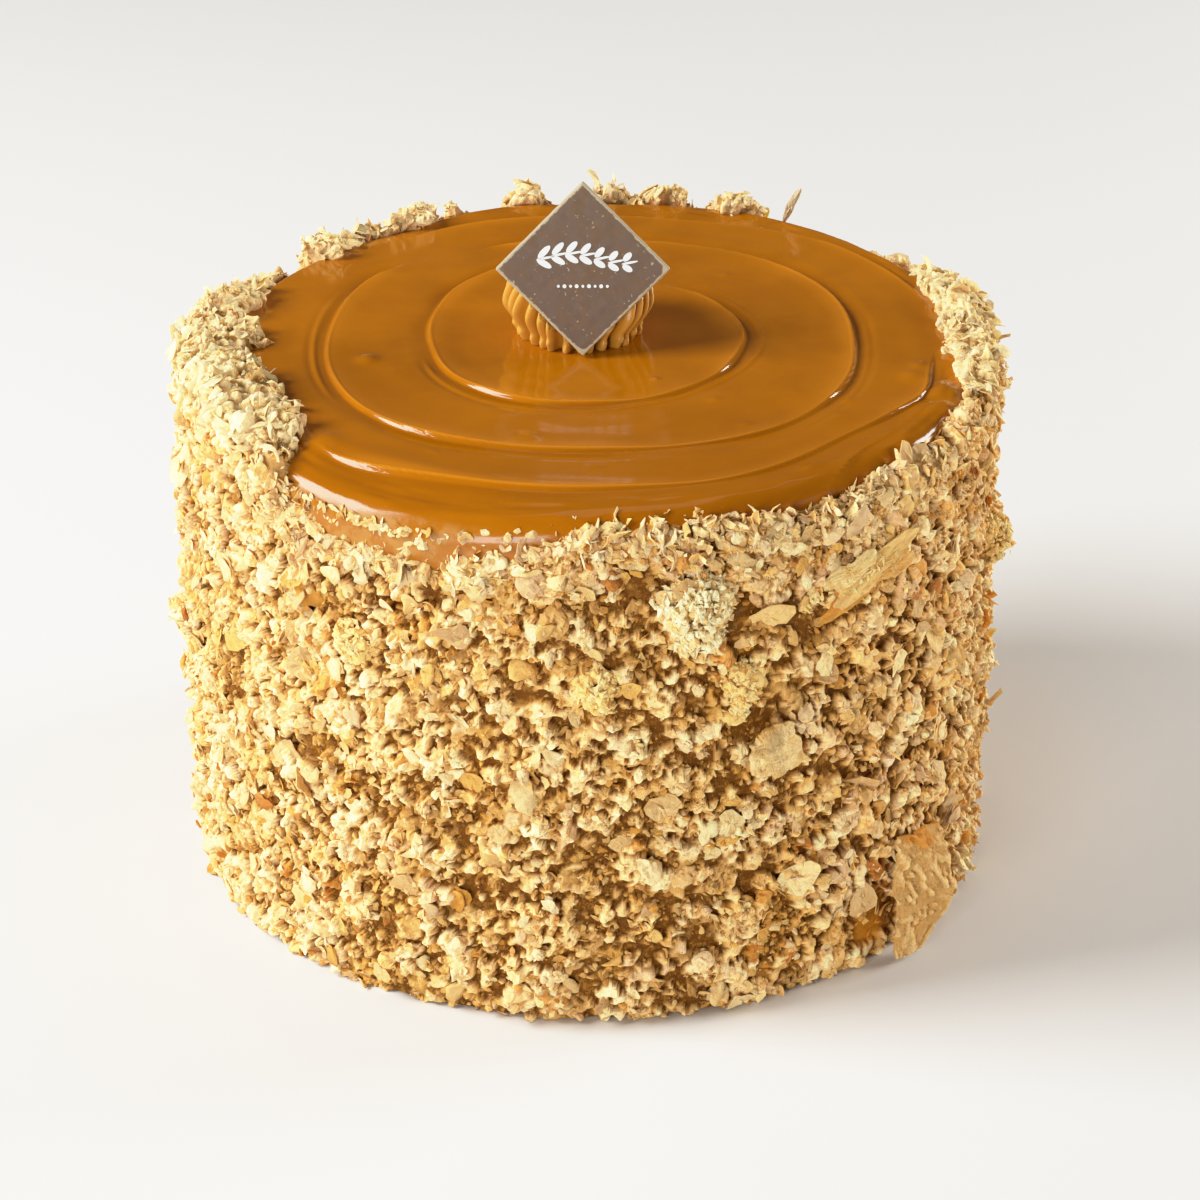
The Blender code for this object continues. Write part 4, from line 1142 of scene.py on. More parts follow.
def crumb_bed():
    """Ground, relief and tints of the whole bed; made once and kept."""
    if BED_CACHE:
        return BED_CACHE
    rng = np.random.default_rng(BED_SEED)
    radius, height, length = bed_base()
    angle = np.arange(BED_COLUMNS)[None] * 360.0 / BED_COLUMNS + np.zeros((BED_ROWS, 1))
    along_radius = np.gradient(radius, axis=0)
    along_height = np.gradient(height, axis=0)
    size = np.hypot(along_radius, along_height) + 1e-9
    along_radius, along_height = along_radius / size, along_height / size
    turn = np.radians(angle)
    cosine, sine = np.cos(turn), np.sin(turn)
    swell_map = bed_swell(angle, height)
    bare = bare_share(angle, height)
    (wide, wide_rise, wide_flat), (fine, fine_rise, fine_flat) = CLUMPS
    big, big_pick = clump_map(angle, length, wide, wide_flat, 110)
    small, _pick = clump_map(angle, length, fine, fine_flat, 130)
    rise = wide_rise * big * (0.5 + 0.5 * big_pick) + fine_rise * small * (0.55 + 0.45 * big)
    clump = np.maximum(big, 0.7 * small)
    knobs = 0.16 * side_noise(angle, length, 1.7, 64) + 0.12 * side_noise(angle, length, 0.9, 65)
    rise = rise + clump * (knobs + 0.25 * side_noise(angle, length, 3.3, 66))
    gaps = np.maximum(bed_gaps(angle, height) * (1.0 - 0.8 * clump), bare)
    bed = {
        "height": np.full(BED_ROWS * BED_COLUMNS, -0.6), "owner": np.full(BED_ROWS * BED_COLUMNS, -1),
        "x": radius * cosine, "y": radius * sine, "z": height, "ax": -sine, "ay": cosine,
        "bx": along_radius * cosine, "by": along_radius * sine, "bz": along_height,
        "ground": swell_map + rise * (1.0 - bare) - 1.5 * bare, "gaps": gaps, "homes": [],
        "clump": clump,
    }
    number = 0
    for kind in BED_GRAINS:
        number += lay_grains(rng, kind, bed, number)
    homes = np.concatenate(bed["homes"])
    relief = bed["height"].reshape(BED_ROWS, BED_COLUMNS)
    relief = np.maximum(relief, 0.6 * swell_map + 0.35 * side_noise(angle, height, 2.6, 8) - 0.3)
    owned = (bed["owner"] >= 0).reshape(relief.shape)
    sunk = cavity(relief)
    relief = soften(relief)

    tone = rng.choice(len(CRUMB_TONES), size=number + 1, p=CRUMB_SHARES)
    common = (big_pick.ravel() * 997.0).astype(int) % 64
    clump_tone = rng.choice(len(CRUMB_TONES), size=64, p=CRUMB_SHARES)
    gathered = clump_tone[common[homes]]
    tone[:number] = np.where(rng.uniform(0.0, 1.0, number) < 0.75, gathered, tone[:number])
    grain_tint = linear(CRUMB_TONES[tone]) * rng.uniform(0.84, 1.06, number + 1)[:, None]
    tint = grain_tint[bed["owner"]].reshape(BED_ROWS, BED_COLUMNS, 3)
    # Painted shade together with caramel soaking: places lying low in the bed darken towards the soaking
    # colour and the coat's colour.
    deep = 1.0 - smoothstep((relief - 0.6 * swell_map + 0.05) / 2.0)
    deep = deep * (1.0 - 0.75 * smoothstep((height - ICING_LEVEL + 1.0) / 3.0))
    # Painted shade in the creases, where a place lies below its near surroundings.
    deep = np.maximum(deep, 0.62 * smoothstep((sunk - 0.04) / 0.42))
    soaked_and_shaded = mixed(SOAKED_AND_SHADED, np.array(colours().coat), deep[..., None])
    across = np.radians(wrapped(angle - AMBER_PATCH[0])) * SIDE
    amber = np.exp(-((across / 5.0) ** 2 + ((height - AMBER_PATCH[1]) / 9.5) ** 2))
    soaked_and_shaded = mixed(soaked_and_shaded, AMBER, smoothstep(1.6 * amber)[..., None])
    # Painted warm shade: golden in the hollows, as light glows through the crumbs there.
    tint = mixed(tint, GOLDEN_SHADE, (0.60 * smoothstep(2.0 * deep))[..., None])
    tint = mixed(tint, soaked_and_shaded, (0.92 * deep ** 1.4)[..., None])
    tint = np.where(owned[..., None], tint, soaked_and_shaded)
    broad = 1.0 + 0.10 * side_noise(angle, height, 13.0, 71) + 0.06 * (big_pick - 0.5)
    # Painted highlight: places standing above their near surroundings are made lighter.
    raised = 1.0 + 0.10 * smoothstep(-sunk / 0.6)
    tint = tint * (broad * raised * rng.uniform(0.90, 1.08, relief.shape))[..., None]

    hem = 1.6 + 1.4 * side_noise(angle, length, 2.4, 79)
    fade = smoothstep((length[-1:] - length - hem) / 1.8)
    relief = relief * fade - 1.0 * (1.0 - fade)
    BED_CACHE.update(radius=radius, height=height, out_radius=along_height, out_height=-along_radius,
                     y=bed["y"], relief=relief, tint=paler(tint, height), angle=angle,
                     swell=swell_map, gaps=gaps, clump=clump)
    return BED_CACHE


def bed_piece(number, paint):
    """Build one sector of the bed, closed by a wall behind it, and finish it."""
    bed = crumb_bed()
    share = BED_COLUMNS // BED_SECTORS
    across = share + 3
    column = (np.clip(np.arange(-1, share + 2), 0, share) + number * share) % BED_COLUMNS
    relief = bed["relief"][:, column]
    relief[:, [0, -1]] = -2.5
    radius = bed["radius"][:, column] + bed["out_radius"][:, column] * relief
    height = np.maximum(bed["height"][:, column] + bed["out_height"][:, column] * relief, 0.05)
    turn = np.radians(bed["angle"][:, column])
    back_radius = np.stack([np.minimum(radius[-1] - 0.5, BED_BACK), np.full(across, BED_BACK)])
    back_height = np.stack([height[-1] - 4.0, np.full(across, 0.05)])
    back = polar(back_radius, turn[[-1, 0]], back_height)
    points = np.concatenate([polar(radius, turn, height), back]).reshape(-1, 3)
    rows = BED_ROWS + 2
    i, j = np.meshgrid(np.arange(rows), np.arange(across - 1), indexing="ij")
    here, after = i * across + j, (i + 1) % rows * across + j
    faces = [split_quads(np.stack([here, here + 1, after + 1, after], axis=-1).reshape(-1, 4))]
    for edge, way in ((0, 1), (across - 1, -1)):
        ring = np.arange(rows) * across + edge
        faces.append(np.stack([np.full(rows - 2, ring[-1]), ring[:-2], ring[1:-1]], axis=-1)[:, ::way])
    tint = bed["tint"][:, column]
    tint = np.concatenate([tint, tint[:2]]).reshape(-1, 3)
    item = mesh_piece("crumb_bed_" + str(number + 1), points, np.concatenate(faces), {"tint": tint}, False)
    finish_piece(item, paint, "pastry_crumb", "cake")


def bed_spots(rng, count, low, high, raised=0.0, rim=False):
    """Scatter places over the bed or its rim, lifted off it by between two distances."""
    bed = crumb_bed()
    count = share_of(count)
    row = rng.integers(SIDE_ROWS if rim else 0, BED_ROWS - 10, count * 5)
    column = rng.integers(0, BED_COLUMNS, count * 5)
    angle, level = bed["angle"][row, column], bed["height"][row, column]
    empty = np.maximum(bare_share(angle, level), 0.8 * bed["gaps"][row, column])
    keep = rng.uniform(0.0, 1.0, count * 5) > empty
    if rim:
        crest = rim_top(angle)
        keep &= (level > crest - 6.0) & ((crest > ICING_LEVEL + 1.0) | (bed["y"][row, column] < 0.0))
    keep &= rng.uniform(0.0, 1.0, count * 5) < 1.0 - raised + raised * bed["clump"][row, column]
    row, column = row[keep][:count], column[keep][:count]
    return spots_at(row, column, rng.uniform(low, high, len(row)))


def crest_spots(rng, count, first, last, low, high):
    """Scatter places along the top of the crumb wall between two angles."""
    count = share_of(count)
    column = np.mod(np.round(rng.uniform(first, last, count) / 360.0 * BED_COLUMNS), BED_COLUMNS)
    column = column.astype(int)
    row = np.argmax(crumb_bed()["height"], axis=0)[column] - rng.integers(0, 16, count)
    spots = spots_at(row, column, rng.uniform(low, high, count))
    spots.depth = spots.depth + 1.5
    return spots


def draped_spots(rng, count, first, last):
    """Scatter places on the caramel that hangs over the edge at the front left."""
    angle = rng.uniform(first, last, count)
    bend = rng.uniform(0.30, 1.0, count) ** 0.35 * 0.5 * math.pi
    start, wide, tall = caramel_edge(angle)
    radius = start + wide * np.sin(bend)
    level = caramel_height(radius, angle) - tall * (1.0 - np.cos(bend))
    level = level - 9.0 * rng.uniform(0.0, 1.0, count) * smoothstep((bend - 1.2) / 0.2)
    turn = np.radians(angle)
    return Spots(polar(radius, turn, level), polar(np.sin(bend), turn, np.cos(bend)), np.full(count, 3.0))


def spots_at(row, column, lift):
    """Places over given points of the bed, lifted off it."""
    keys = ("relief", "radius", "height", "angle", "out_radius", "out_height", "swell")
    relief, radius, height, angle, out_radius, out_height, swelling = (
        crumb_bed()[key][row, column] for key in keys)
    out = relief + lift
    turn = np.radians(angle)
    place = polar(radius + out_radius * out, turn, height + out_height * out)
    return Spots(place, polar(out_radius, turn, out_height), out - 0.6 * swelling + 0.3)


def crumb_tints(rng, spots, raised=0.0):
    """Tint of each crumb: a random bake tone, turning golden and then dark near the coat, by caramel soaking
    and painted shade.
    """
    count = len(spots.place)
    tint = linear(CRUMB_TONES[rng.choice(len(CRUMB_TONES), size=count, p=CRUMB_SHARES)])
    tint = tint * rng.uniform(0.74, 1.12, count)[:, None]
    soak_and_shade = (1.0 - smoothstep((spots.depth + raised) / 3.2)) * rng.uniform(0.35, 0.95, count)
    tint = mixed(tint, GOLDEN_SHADE, (0.50 * smoothstep(2.0 * soak_and_shade))[:, None])
    return paler(mixed(tint, SOAKED_AND_SHADED, (soak_and_shade ** 1.4)[:, None]), spots.place[:, 2])


def turn_matrices(outward, spin, tilt_x, tilt_y):
    """Matrices that lay a crumb's own Z along a direction, after it is spun and tilted."""
    normal = outward / np.linalg.norm(outward, axis=1)[:, None]
    upright = np.tile(np.array([0.0, 0.0, 1.0]), (len(normal), 1))
    flat = np.abs(normal[:, 2]) > 0.9
    upright[flat] = np.array([0.0, 1.0, 0.0])
    across = np.cross(upright, normal)
    across /= np.linalg.norm(across, axis=1)[:, None]
    along = np.cross(normal, across)
    basis = np.stack([across, along, normal], axis=-1)

    def rotation(angle, first, second):
        """Rotation about the remaining axis."""
        matrix = np.tile(np.eye(3), (len(angle), 1, 1))
        matrix[:, first, first] = np.cos(angle)
        matrix[:, second, second] = np.cos(angle)
        matrix[:, first, second] = -np.sin(angle)
        matrix[:, second, first] = np.sin(angle)
        return matrix

    return basis @ rotation(tilt_x, 1, 2) @ rotation(tilt_y, 2, 0) @ rotation(spin, 0, 1)


def crumb_arrays(rng, shapes, spots, small, large, tilt, tints):
    """Points, triangles and tints of one crumb at every spot."""
    count = len(spots.place)
    scale = small + (large - small) * rng.uniform(0.0, 1.0, count) ** 1.7
    spin = rng.uniform(0.0, math.tau, count)
    turn = turn_matrices(spots.outward, spin, rng.normal(0.0, tilt, count), rng.normal(0.0, tilt, count))
    kind = rng.integers(0, len(shapes), count)
    groups = []
    for index, (shape, net) in enumerate(shapes):
        chosen = np.nonzero(kind == index)[0]
        if not len(chosen):
            continue
        sized = shape[None] * scale[chosen, None, None]
        placed = np.einsum("nij,nkj->nki", turn[chosen], sized) + spots.place[chosen, None]
        placed[..., 2] = np.maximum(placed[..., 2], CRUMB_FLOOR)
        step = np.arange(len(chosen))[:, None, None] * len(shape)
        shade = rng.uniform(0.86, 1.08, (len(chosen), len(shape), 1))
        groups.append((placed.reshape(-1, 3), (net[None] + step).reshape(-1, 3),
                       (tints[chosen, None] * shade).reshape(-1, 3)))
    return joined(groups)


def crumb_piece(name, groups, smooth=False):
    """Join groups of points, triangles and tints into one piece."""
    points, faces, tint = joined(groups)
    return mesh_piece(name, points, faces, {"tint": tint}, smooth)


def scatter(names, slot, rng, shapes, spots, sizing, tints, smooth=False):
    """Join one crumb at every spot into a single piece and finish it in a paint of its own.

    The names are the piece's and its paint's. The sizing is the least and greatest size and the tilt.
    """
    item = crumb_piece(names[0], [crumb_arrays(rng, shapes, spots, *sizing, tints)], smooth)
    finish_piece(item, crumb_paint(names[1]), slot)


def share_of(count):
    """Number of crumbs at the cover that the user chose."""
    return max(20, int(count * sizes().crumb_share))


class CAKE_OT_coat(bpy.types.Operator):
    """Build the caramel coat of the side and the dense bed of crumbs in it."""

    bl_idname = "cake.coat"
    bl_label = "Coat and crumb bed"

    def execute(self, _context):
        columns, rows = 240, 24
        base = sizes().coat_radius / MM - 1.6
        level = COAT_TOP * (1.0 - np.arange(rows)[:, None] / (rows - 1.0)) + np.zeros((1, columns))
        radius = base - slump(np.arange(columns)[None] * 360.0 / columns, level)
        tint = np.tile(np.array(colours().coat), (rows, columns, 1))
        item = turned_mesh("caramel_coat", radius, level, {"tint": tint})
        finish_piece(item, coat_paint(), "pastry_crumb", "cake")
        paint = crumb_paint("bed_pastry")
        for number in range(BED_SECTORS):
            bed_piece(number, paint)
        return {"FINISHED"}


class CAKE_OT_caramel(bpy.types.Operator):
    """Pour the caramel top with its swirl and its rounded edge."""

    bl_idname = "cake.caramel"
    bl_label = "Caramel top"

    def execute(self, _context):
        columns, steps = 296, 30
        angle = np.arange(columns)[None, :] * 360.0 / columns
        start, wide, tall = caramel_edge(angle)
        edge = start + wide
        bends = [step / steps * 0.5 * math.pi for step in range(1, steps + 1)]
        rings = [start * share for share in np.linspace(0.009, 1.0, 224)]
        rings += [start + wide * math.sin(bend) for bend in bends]
        drops = [0.0] * (len(rings) - steps) + [tall * (1.0 - math.cos(bend)) for bend in bends]
        levels = [caramel_height(ring, angle) - drop for ring, drop in zip(rings, drops)]
        lifts = [swirl_relief(ring, angle) for ring in rings]
        last = levels[-1]
        for share in (0.2, 0.4, 0.6, 0.8, 1.0):
            rings.append(edge + 0.5 * math.sin(share * math.pi))
            levels.append(last + (CARAMEL_FOOT - last) * share)
        rings.append(edge - 8.0)
        levels.append(np.full((1, columns), CARAMEL_FOOT))
        lifts += [np.zeros((1, columns))] * 6
        # The lift values, from trough to crest, carry the paint's painted highlight on crests and painted
        # shade in troughs.
        lift = np.clip(0.5 + 0.5 * np.concatenate(lifts) / (sizes().ridge_height / MM), 0.0, 1.0)
        level = np.concatenate(levels)
        # Where the caramel hangs low at the front left: the mask of its rougher streaks and its painted
        # sheen.
        low = smoothstep((ICING_LEVEL - 4.4 - level) / 2.6)
        smear_and_sheen = low * swell(wrapped(angle - SHOULDER), 0.0, 24.0)
        item = turned_mesh("caramel_top", np.concatenate(rings), level, {"lift": lift, "smear_and_sheen": smear_and_sheen})
        # The crest colour is a painted highlight, and the last number is the share of painted shade towards
        # the front.
        paint = caramel_paint("glossy_caramel", colours().caramel, colours().caramel_dark,
                              (0.54, 0.19, 0.009), 0.12, 0.30, 0.62)
        finish_piece(item, paint, "caramel_icing", "icing_top")
        return {"FINISHED"}


class CAKE_OT_fine_crumbs(bpy.types.Operator):
    """Scatter the finest crumbs over the side and the rim."""

    bl_idname = "cake.fine_crumbs"
    bl_label = "Fine crumbs"

    def execute(self, _context):
        rng = np.random.default_rng(FINE_SEED)
        spots = bed_spots(rng, 17200, -0.15, 0.30)
        scatter(("splinters", "splinter_pastry"), "pastry_crumb", rng, splinter_shapes(rng, 16), spots,
                (0.38, 1.15, 0.9), crumb_tints(rng, spots))
        spots = bed_spots(rng, 4200, -0.3, 0.4)
        scatter(("grains", "grain_pastry"), "pastry_crumb", rng, grain_shapes(rng, 14), spots,
                (0.7, 1.6, 0.9), crumb_tints(rng, spots))
        return {"FINISHED"}


def standing_flake(rng):
    """The thin upright flake at the back right of the rim."""
    shape, faces = plate_shape(rng, 14, 3, 0.12, 0.10, 0.10)
    lean = math.radians(UPRIGHT_LEAN)
    long_way = (math.sin(lean), 0.0, math.cos(lean))
    wide_way = (math.cos(lean), 0.0, -math.sin(lean))
    upright = np.stack([long_way, wide_way, (0.0, 1.0, 0.0)], axis=1)
    points = (shape * UPRIGHT_SIZE) @ upright.T + UPRIGHT_PLACE
    return points, faces, np.tile(shown(*UPRIGHT_TONE), (len(points), 1))


class CAKE_OT_flakes(bpy.types.Operator):
    """Scatter thin chips, curled flakes, shreds, stacked leaves and broad flakes of puff pastry."""

    bl_idname = "cake.flakes"
    bl_label = "Pastry flakes"

    def execute(self, _context):
        rng = np.random.default_rng(FLAKE_SEED)
        shapes = flake_shapes(rng, 18, 8, 1, 0.8, 0.11, 0.30, 0.25)
        spots = bed_spots(rng, 4700, -0.1, 0.55, 0.1)
        spots = spots.join(draped_spots(rng, 170, -138.0, -92.0))
        spots = spots.join(bed_spots(rng, 700, 0.0, 1.0, 0.0, True))
        scatter(("thin_chips", "chip_pastry"), "pastry_crumb", rng, shapes, spots,
                (0.6, 1.9, 0.6), crumb_tints(rng, spots))
        shapes = flake_shapes(rng, 18, 11, 2, 0.65, 0.07, 0.35, 0.20)
        spots = bed_spots(rng, 1250, -0.2, 0.45, 0.4)
        spots = spots.join(bed_spots(rng, 330, 0.0, 1.4, 0.0, True))
        scatter(("curled_flakes", "flake_pastry"), "pale_flake", rng, shapes, spots,
                (1.2, 3.3, 0.45), crumb_tints(rng, spots, 0.5), True)
        shapes = flake_shapes(rng, 20, 9, 2, 0.34, 0.09, 0.55, 0.30)
        spots = bed_spots(rng, 430, 0.0, 0.9, 0.3)
        spots = spots.join(bed_spots(rng, 430, 0.2, 1.6, 0.0, True))
        spots = spots.join(crest_spots(rng, 230, -140.0, -22.0, 0.2, 1.4))
        shreds = crumb_arrays(rng, shapes, spots, 1.3, 3.6, 0.95, crumb_tints(rng, spots, 1.2))
        item = crumb_piece("shreds", (shreds, standing_flake(rng)))
        finish_piece(item, crumb_paint("shred_pastry"), "pale_flake")
        shapes = stacked_shapes(rng, 12, 3)
        spots = bed_spots(rng, 210, -0.4, 0.4, 0.7)
        scatter(("stacked_flakes", "stacked_pastry"), "pale_flake", rng, shapes, spots,
                (2.2, 4.6, 0.35), crumb_tints(rng, spots, 0.8), True)
        shapes = flake_shapes(rng, 16, 15, 3, 0.80, 0.055, 0.22, 0.13)
        spots = bed_spots(rng, 170, 0.1, 0.7, 0.2)
        tints = linear(BROAD_TONES[rng.integers(0, len(BROAD_TONES), len(spots.place))])
        tints = tints * rng.uniform(0.86, 1.05, (len(tints), 1))
        scatter(("broad_flakes", "broad_pastry"), "pale_flake", rng, shapes, spots,
                (2.4, 5.4, 0.30), tints)
        return {"FINISHED"}


class CAKE_OT_lumps(bpy.types.Operator):
    """Scatter the ragged crumbs and the craggy lumps of pastry and nut."""

    bl_idname = "cake.lumps"
    bl_label = "Pastry lumps"

    def execute(self, _context):
        rng = np.random.default_rng(LUMP_SEED)
        spots = bed_spots(rng, 640, -0.5, 0.5, 0.6)
        spots = spots.join(bed_spots(rng, 150, -0.3, 1.0, 0.0, True))
        spots = spots.join(crest_spots(rng, 70, -135.0, -22.0, -0.2, 0.8))
        spots = spots.join(draped_spots(rng, 14, -137.0, -94.0))
        scatter(("ragged_crumbs", "ragged_pastry"), "pastry_crumb", rng, ragged_shapes(rng, 20, 10), spots,
                (1.4, 3.6, 0.7), crumb_tints(rng, spots, 1.0))
        spots = bed_spots(rng, 185, -0.6, 0.2, 0.8)
        scatter(("craggy_lumps", "lump_pastry"), "pastry_crumb", rng, lump_shapes(rng, 14, 3, 0.27), spots,
                (1.6, 3.6, 0.55), crumb_tints(rng, spots, 1.2))
        return {"FINISHED"}


# Largest pieces: node, angle, height, width, tall, thick, turn, number of crumbs in the cluster
LARGE_PIECES = (
    ("clump_pale", -75.8, 110.5, 17.0, 21.0, 11.0, 0.0, 84),
    ("flake_pile", -51.5, 112.0, 28.0, 9.5, 7.5, 24.0, 60),
    ("clump_front", -88.5, 91.5, 9.5, 11.5, 6.5, 0.0, 28),
    ("clump_left", -122.5, 96.5, 10.5, 9.5, 6.5, 0.0, 28),
    ("clump_right", -13.0, 92.0, 12.5, 13.5, 10.0, 0.0, 45),
    ("flake_tall", -69.2, 88.5, 8.0, 15.5, 5.5, -6.0, 30),
)


# Leaves of the pile: shift sideways and up, distance from the axis, half length, half width, tone
LEAVES = (
    (-1.0, -1.8, 105.0, 13.5, 3.0, (222, 158, 74)), (1.5, 1.0, 105.8, 12.5, 3.0, (244, 200, 128)),
    (-6.0, 2.6, 106.6, 6.5, 2.8, (250, 216, 150)), (6.5, 0.4, 106.5, 6.0, 2.3, (232, 182, 106)),
)


def cluster(name, values, rng, tone):
    """Build one large clump: a craggy core covered with ragged crumbs and splinters."""
    node, at, level, width, tall, thick, turn, count = values

    def spots_of(number, share):
        """Scatter places over the clump's domed face."""
        distance = np.sqrt(rng.uniform(0.0, 1.0, number))
        way = rng.uniform(0.0, math.tau, number)
        uneven = 1.0 + 0.14 * np.sin(3.0 * way + at) + 0.09 * np.sin(5.0 * way)
        across = distance * np.cos(way) * width * 0.5 * uneven
        along = distance * np.sin(way) * tall * 0.5 * uneven
        out = thick * (0.12 + 0.70 * (1.0 - distance ** 2.2)) * share
        sideways, upward = spun(across, along, math.radians(turn))
        angle = np.radians(at + np.degrees(sideways / PIECE_ARC))
        outward = polar(1.0, angle, 0.2 * np.ones(number))
        return Spots(polar(100.4 + out, angle, level + upward), outward, np.full(number, 5.0))

    def pale(number, golden):
        """Tint of each crumb in the clump, with painted golden shade on the inner crumbs deep down."""
        return mixed(shown(*tone), CLUMP_SHADE, golden) * rng.uniform(0.92, 1.06, (number, 1))

    inner = spots_of(count, rng.uniform(0.45, 0.8, count))
    outer = spots_of(count * 3, rng.uniform(0.78, 1.04, count * 3))
    groups = [
        crumb_arrays(rng, ragged_shapes(rng, 8, 8), inner, 2.0, 3.4, 0.6, pale(count, 0.55)),
        crumb_arrays(rng, splinter_shapes(rng, 10), outer, 0.8, 1.9, 0.55, pale(count * 3, 0.05))]
    if node == "flake_pile":
        groups.append(leaf_pile(rng))
    return crumb_piece(name, groups)


def sheet_faces(columns, rows):
    """Triangles of a thin closed sheet: upper side, lower side and the rim between them."""
    half = columns * rows
    grid = np.arange(half).reshape(columns, rows)
    a = grid[:-1, :-1].ravel()
    quads = np.stack([a, a + rows, a + rows + 1, a + 1], axis=-1)
    ring = np.concatenate([grid[0], grid[1:, -1], grid[-1, -2::-1], grid[-2:0:-1, 0]])
    after = np.roll(ring, -1)
    side = np.stack([ring, after, after + half, ring + half], axis=-1)
    return np.concatenate([split_quads(quads), split_quads(quads[:, ::-1] + half), split_quads(side)])


def sheet_grid(columns, rows):
    """Two coordinates from -1 to 1 over a sheet, and how near each point is to the rim."""
    u, v = np.meshgrid(np.linspace(-1.0, 1.0, columns), np.linspace(-1.0, 1.0, rows), indexing="ij")
    return u, v, np.maximum(np.abs(u), np.abs(v))


def sheet_piece(name, rng, sides, tint):
    """Join the upper and the lower side of a sheet into one piece, clear of the floor."""
    points = np.concatenate([side.reshape(-1, 3) for side in sides])
    points[:, 2] = np.maximum(points[:, 2], SHEET_FLOOR)
    faces = sheet_faces(*tint.shape[:2])
    tint = np.concatenate([tint.reshape(-1, 3)] * 2) * rng.uniform(0.88, 1.06, (len(points), 1))
    return mesh_piece(name, points, faces, {"tint": tint}, False)


def single_flake(name, rng, at, level, radius, size, thick, lean, turn):
    """Build one large domed flake with a torn edge, standing off the side."""
    u, v, edge = sheet_grid(34, 34)
    away = np.hypot(u, v) + 1e-9
    way = np.arctan2(v, u)
    outline = 1.0 + 0.08 * np.sin(3.0 * way + turn) + 0.05 * np.sin(7.0 * way + 1.0)
    outline = outline + 0.09 * lattice_noise(u * 4.5 + 9.0, v * 4.5 + 9.0, 48) * edge ** 4
    outline = outline + 0.05 * lattice_noise(u * 11.0 + 20.0, v * 11.0 + 20.0, 49) * edge ** 4
    x, y = (side * (0.78 * edge / away + 0.22) * outline for side in (u, v))
    wave = 0.9 * (1.0 - edge ** 2) + 0.6 * lattice_noise(x * 2.0 + 9.0, y * 2.6 + 5.0, 5)
    bumps = np.abs(lattice_noise(x * 5.0 + 9.0, y * 6.0 + 5.0, 6))
    wave = wave + 0.55 * bumps + 0.04 * rng.normal(size=x.shape)
    swell_up = thick * 0.5 * (0.35 + 0.65 * (edge < 0.97)) * rng.uniform(0.85, 1.15, u.shape)
    across, along = x * size[0] * 0.5, y * size[1] * 0.5
    sideways, upward = spun(across, along, math.radians(turn))
    angle = np.radians(at) + sideways / PIECE_ARC
    sides = [polar(radius + wave + sign * swell_up - along * lean, angle, level + upward)
             for sign in (1.0, -1.0)]
    share = smoothstep(0.5 + 0.9 * lattice_noise(x * 2.4 + 7.0, y * 2.4 + 7.0, 50) - 0.5 * edge)
    tint = mixed(shown(238, 208, 150), shown(198, 170, 120), share[..., None])
    warm = smoothstep(1.4 * lattice_noise(x * 2.0 + 3.0, y * 2.0 + 3.0, 52) + 0.4 * x - 0.1)
    tint = tint + (shown(224, 168, 82) - tint) * 0.6 * warm[..., None]
    return sheet_piece(name, rng, sides, tint)


def leaning_sheet(name, rng):
    """Build the pastry sheet that leans on the lower right of the side."""
    u, v, edge = sheet_grid(56, 88)
    along = 0.5 * (v + 1.0)
    half = 9.6 * np.sqrt(1.0 - ((along - 0.5) / 0.68) ** 2) * (0.55 + 0.45 * smoothstep(along / 0.3))
    middle = -0.9 - 6.5 * (1.0 - smoothstep(along / 0.35)) - 0.8 * smoothstep((along - 0.65) / 0.35)
    torn = 1.0 + 0.07 * lattice_noise(u * 3.0 + 9.0, v * 5.0 + 9.0, 41)
    torn = torn + 0.06 * lattice_noise(u * 9.0 + 9.0, v * 14.0 + 9.0, 42) * edge ** 6
    height = 0.8 + 31.0 * along
    height = height + 1.5 * lattice_noise(u * 3.0 + 3.0, np.zeros_like(u), 43) * along ** 3
    sideways = middle + u * half * torn
    slant = u * 0.8 + v * 0.5
    grain = smoothstep((lattice_noise(slant * 11.0 + 20.0, v * 9.0 + 20.0, 45) - 0.02) / 0.34)
    grain = grain * (0.75 + 0.5 * lattice_noise(u * 4.0 + 7.0, v * 4.0 + 7.0, 47))
    curl = 0.8 * lattice_noise(u * 2.2 + 7.0, v * 2.8 + 7.0, 44)
    curl = curl + 0.75 * grain + 0.06 * rng.normal(size=u.shape)
    middle_radius = 107.9 - 3.9 * along + sideways * 0.14 + curl
    angle = np.radians(-37.5) + sideways / 98.5
    full = 1.1 * (0.35 + 0.65 * smoothstep((1.0 - edge) * 8.0))
    sides = [polar(middle_radius + sign * (full * rng.uniform(0.85, 1.15, u.shape)), angle, height)
             for sign in (1.0, -1.0)]
    tint = mixed(shown(208, 164, 100), shown(240, 206, 146), grain[..., None])
    warm = smoothstep((along - 0.80) / 0.14 + 1.5 * lattice_noise(u * 2.0 + 5.0, v * 4.0 + 5.0, 46) - 0.4)
    return sheet_piece(name, rng, sides, mixed(tint, shown(214, 140, 44), (0.75 * warm)[..., None]))


def leaf_pile(rng):
    """Long thin leaves that lie slanting on the pile of flakes, high on the right of the front."""
    _node, at, level, _width, _tall, _thick, slant, _count = LARGE_PIECES[1]
    leaves = []
    for shift, rise, out, long, wide, tone in LEAVES:
        leaf, net = plate_shape(rng, 34, 5, 0.07, 0.10, 0.10)
        leaf = leaf + 0.03 * rng.normal(size=leaf.shape) * (0.0, 0.0, 1.0)
        along = leaf[:, 1] * wide
        sideways, upward = spun(leaf[:, 0] * long, along, math.radians(slant))
        angle = np.radians(at) + (shift + sideways) / PIECE_ARC
        points = polar(out + leaf[:, 2] * 4.0 - 0.30 * along, angle, level + (rise + upward))
        leaves.append((points, net, shown(*tone) * rng.uniform(0.86, 1.06, (len(leaf), 1))))
    return joined(leaves)


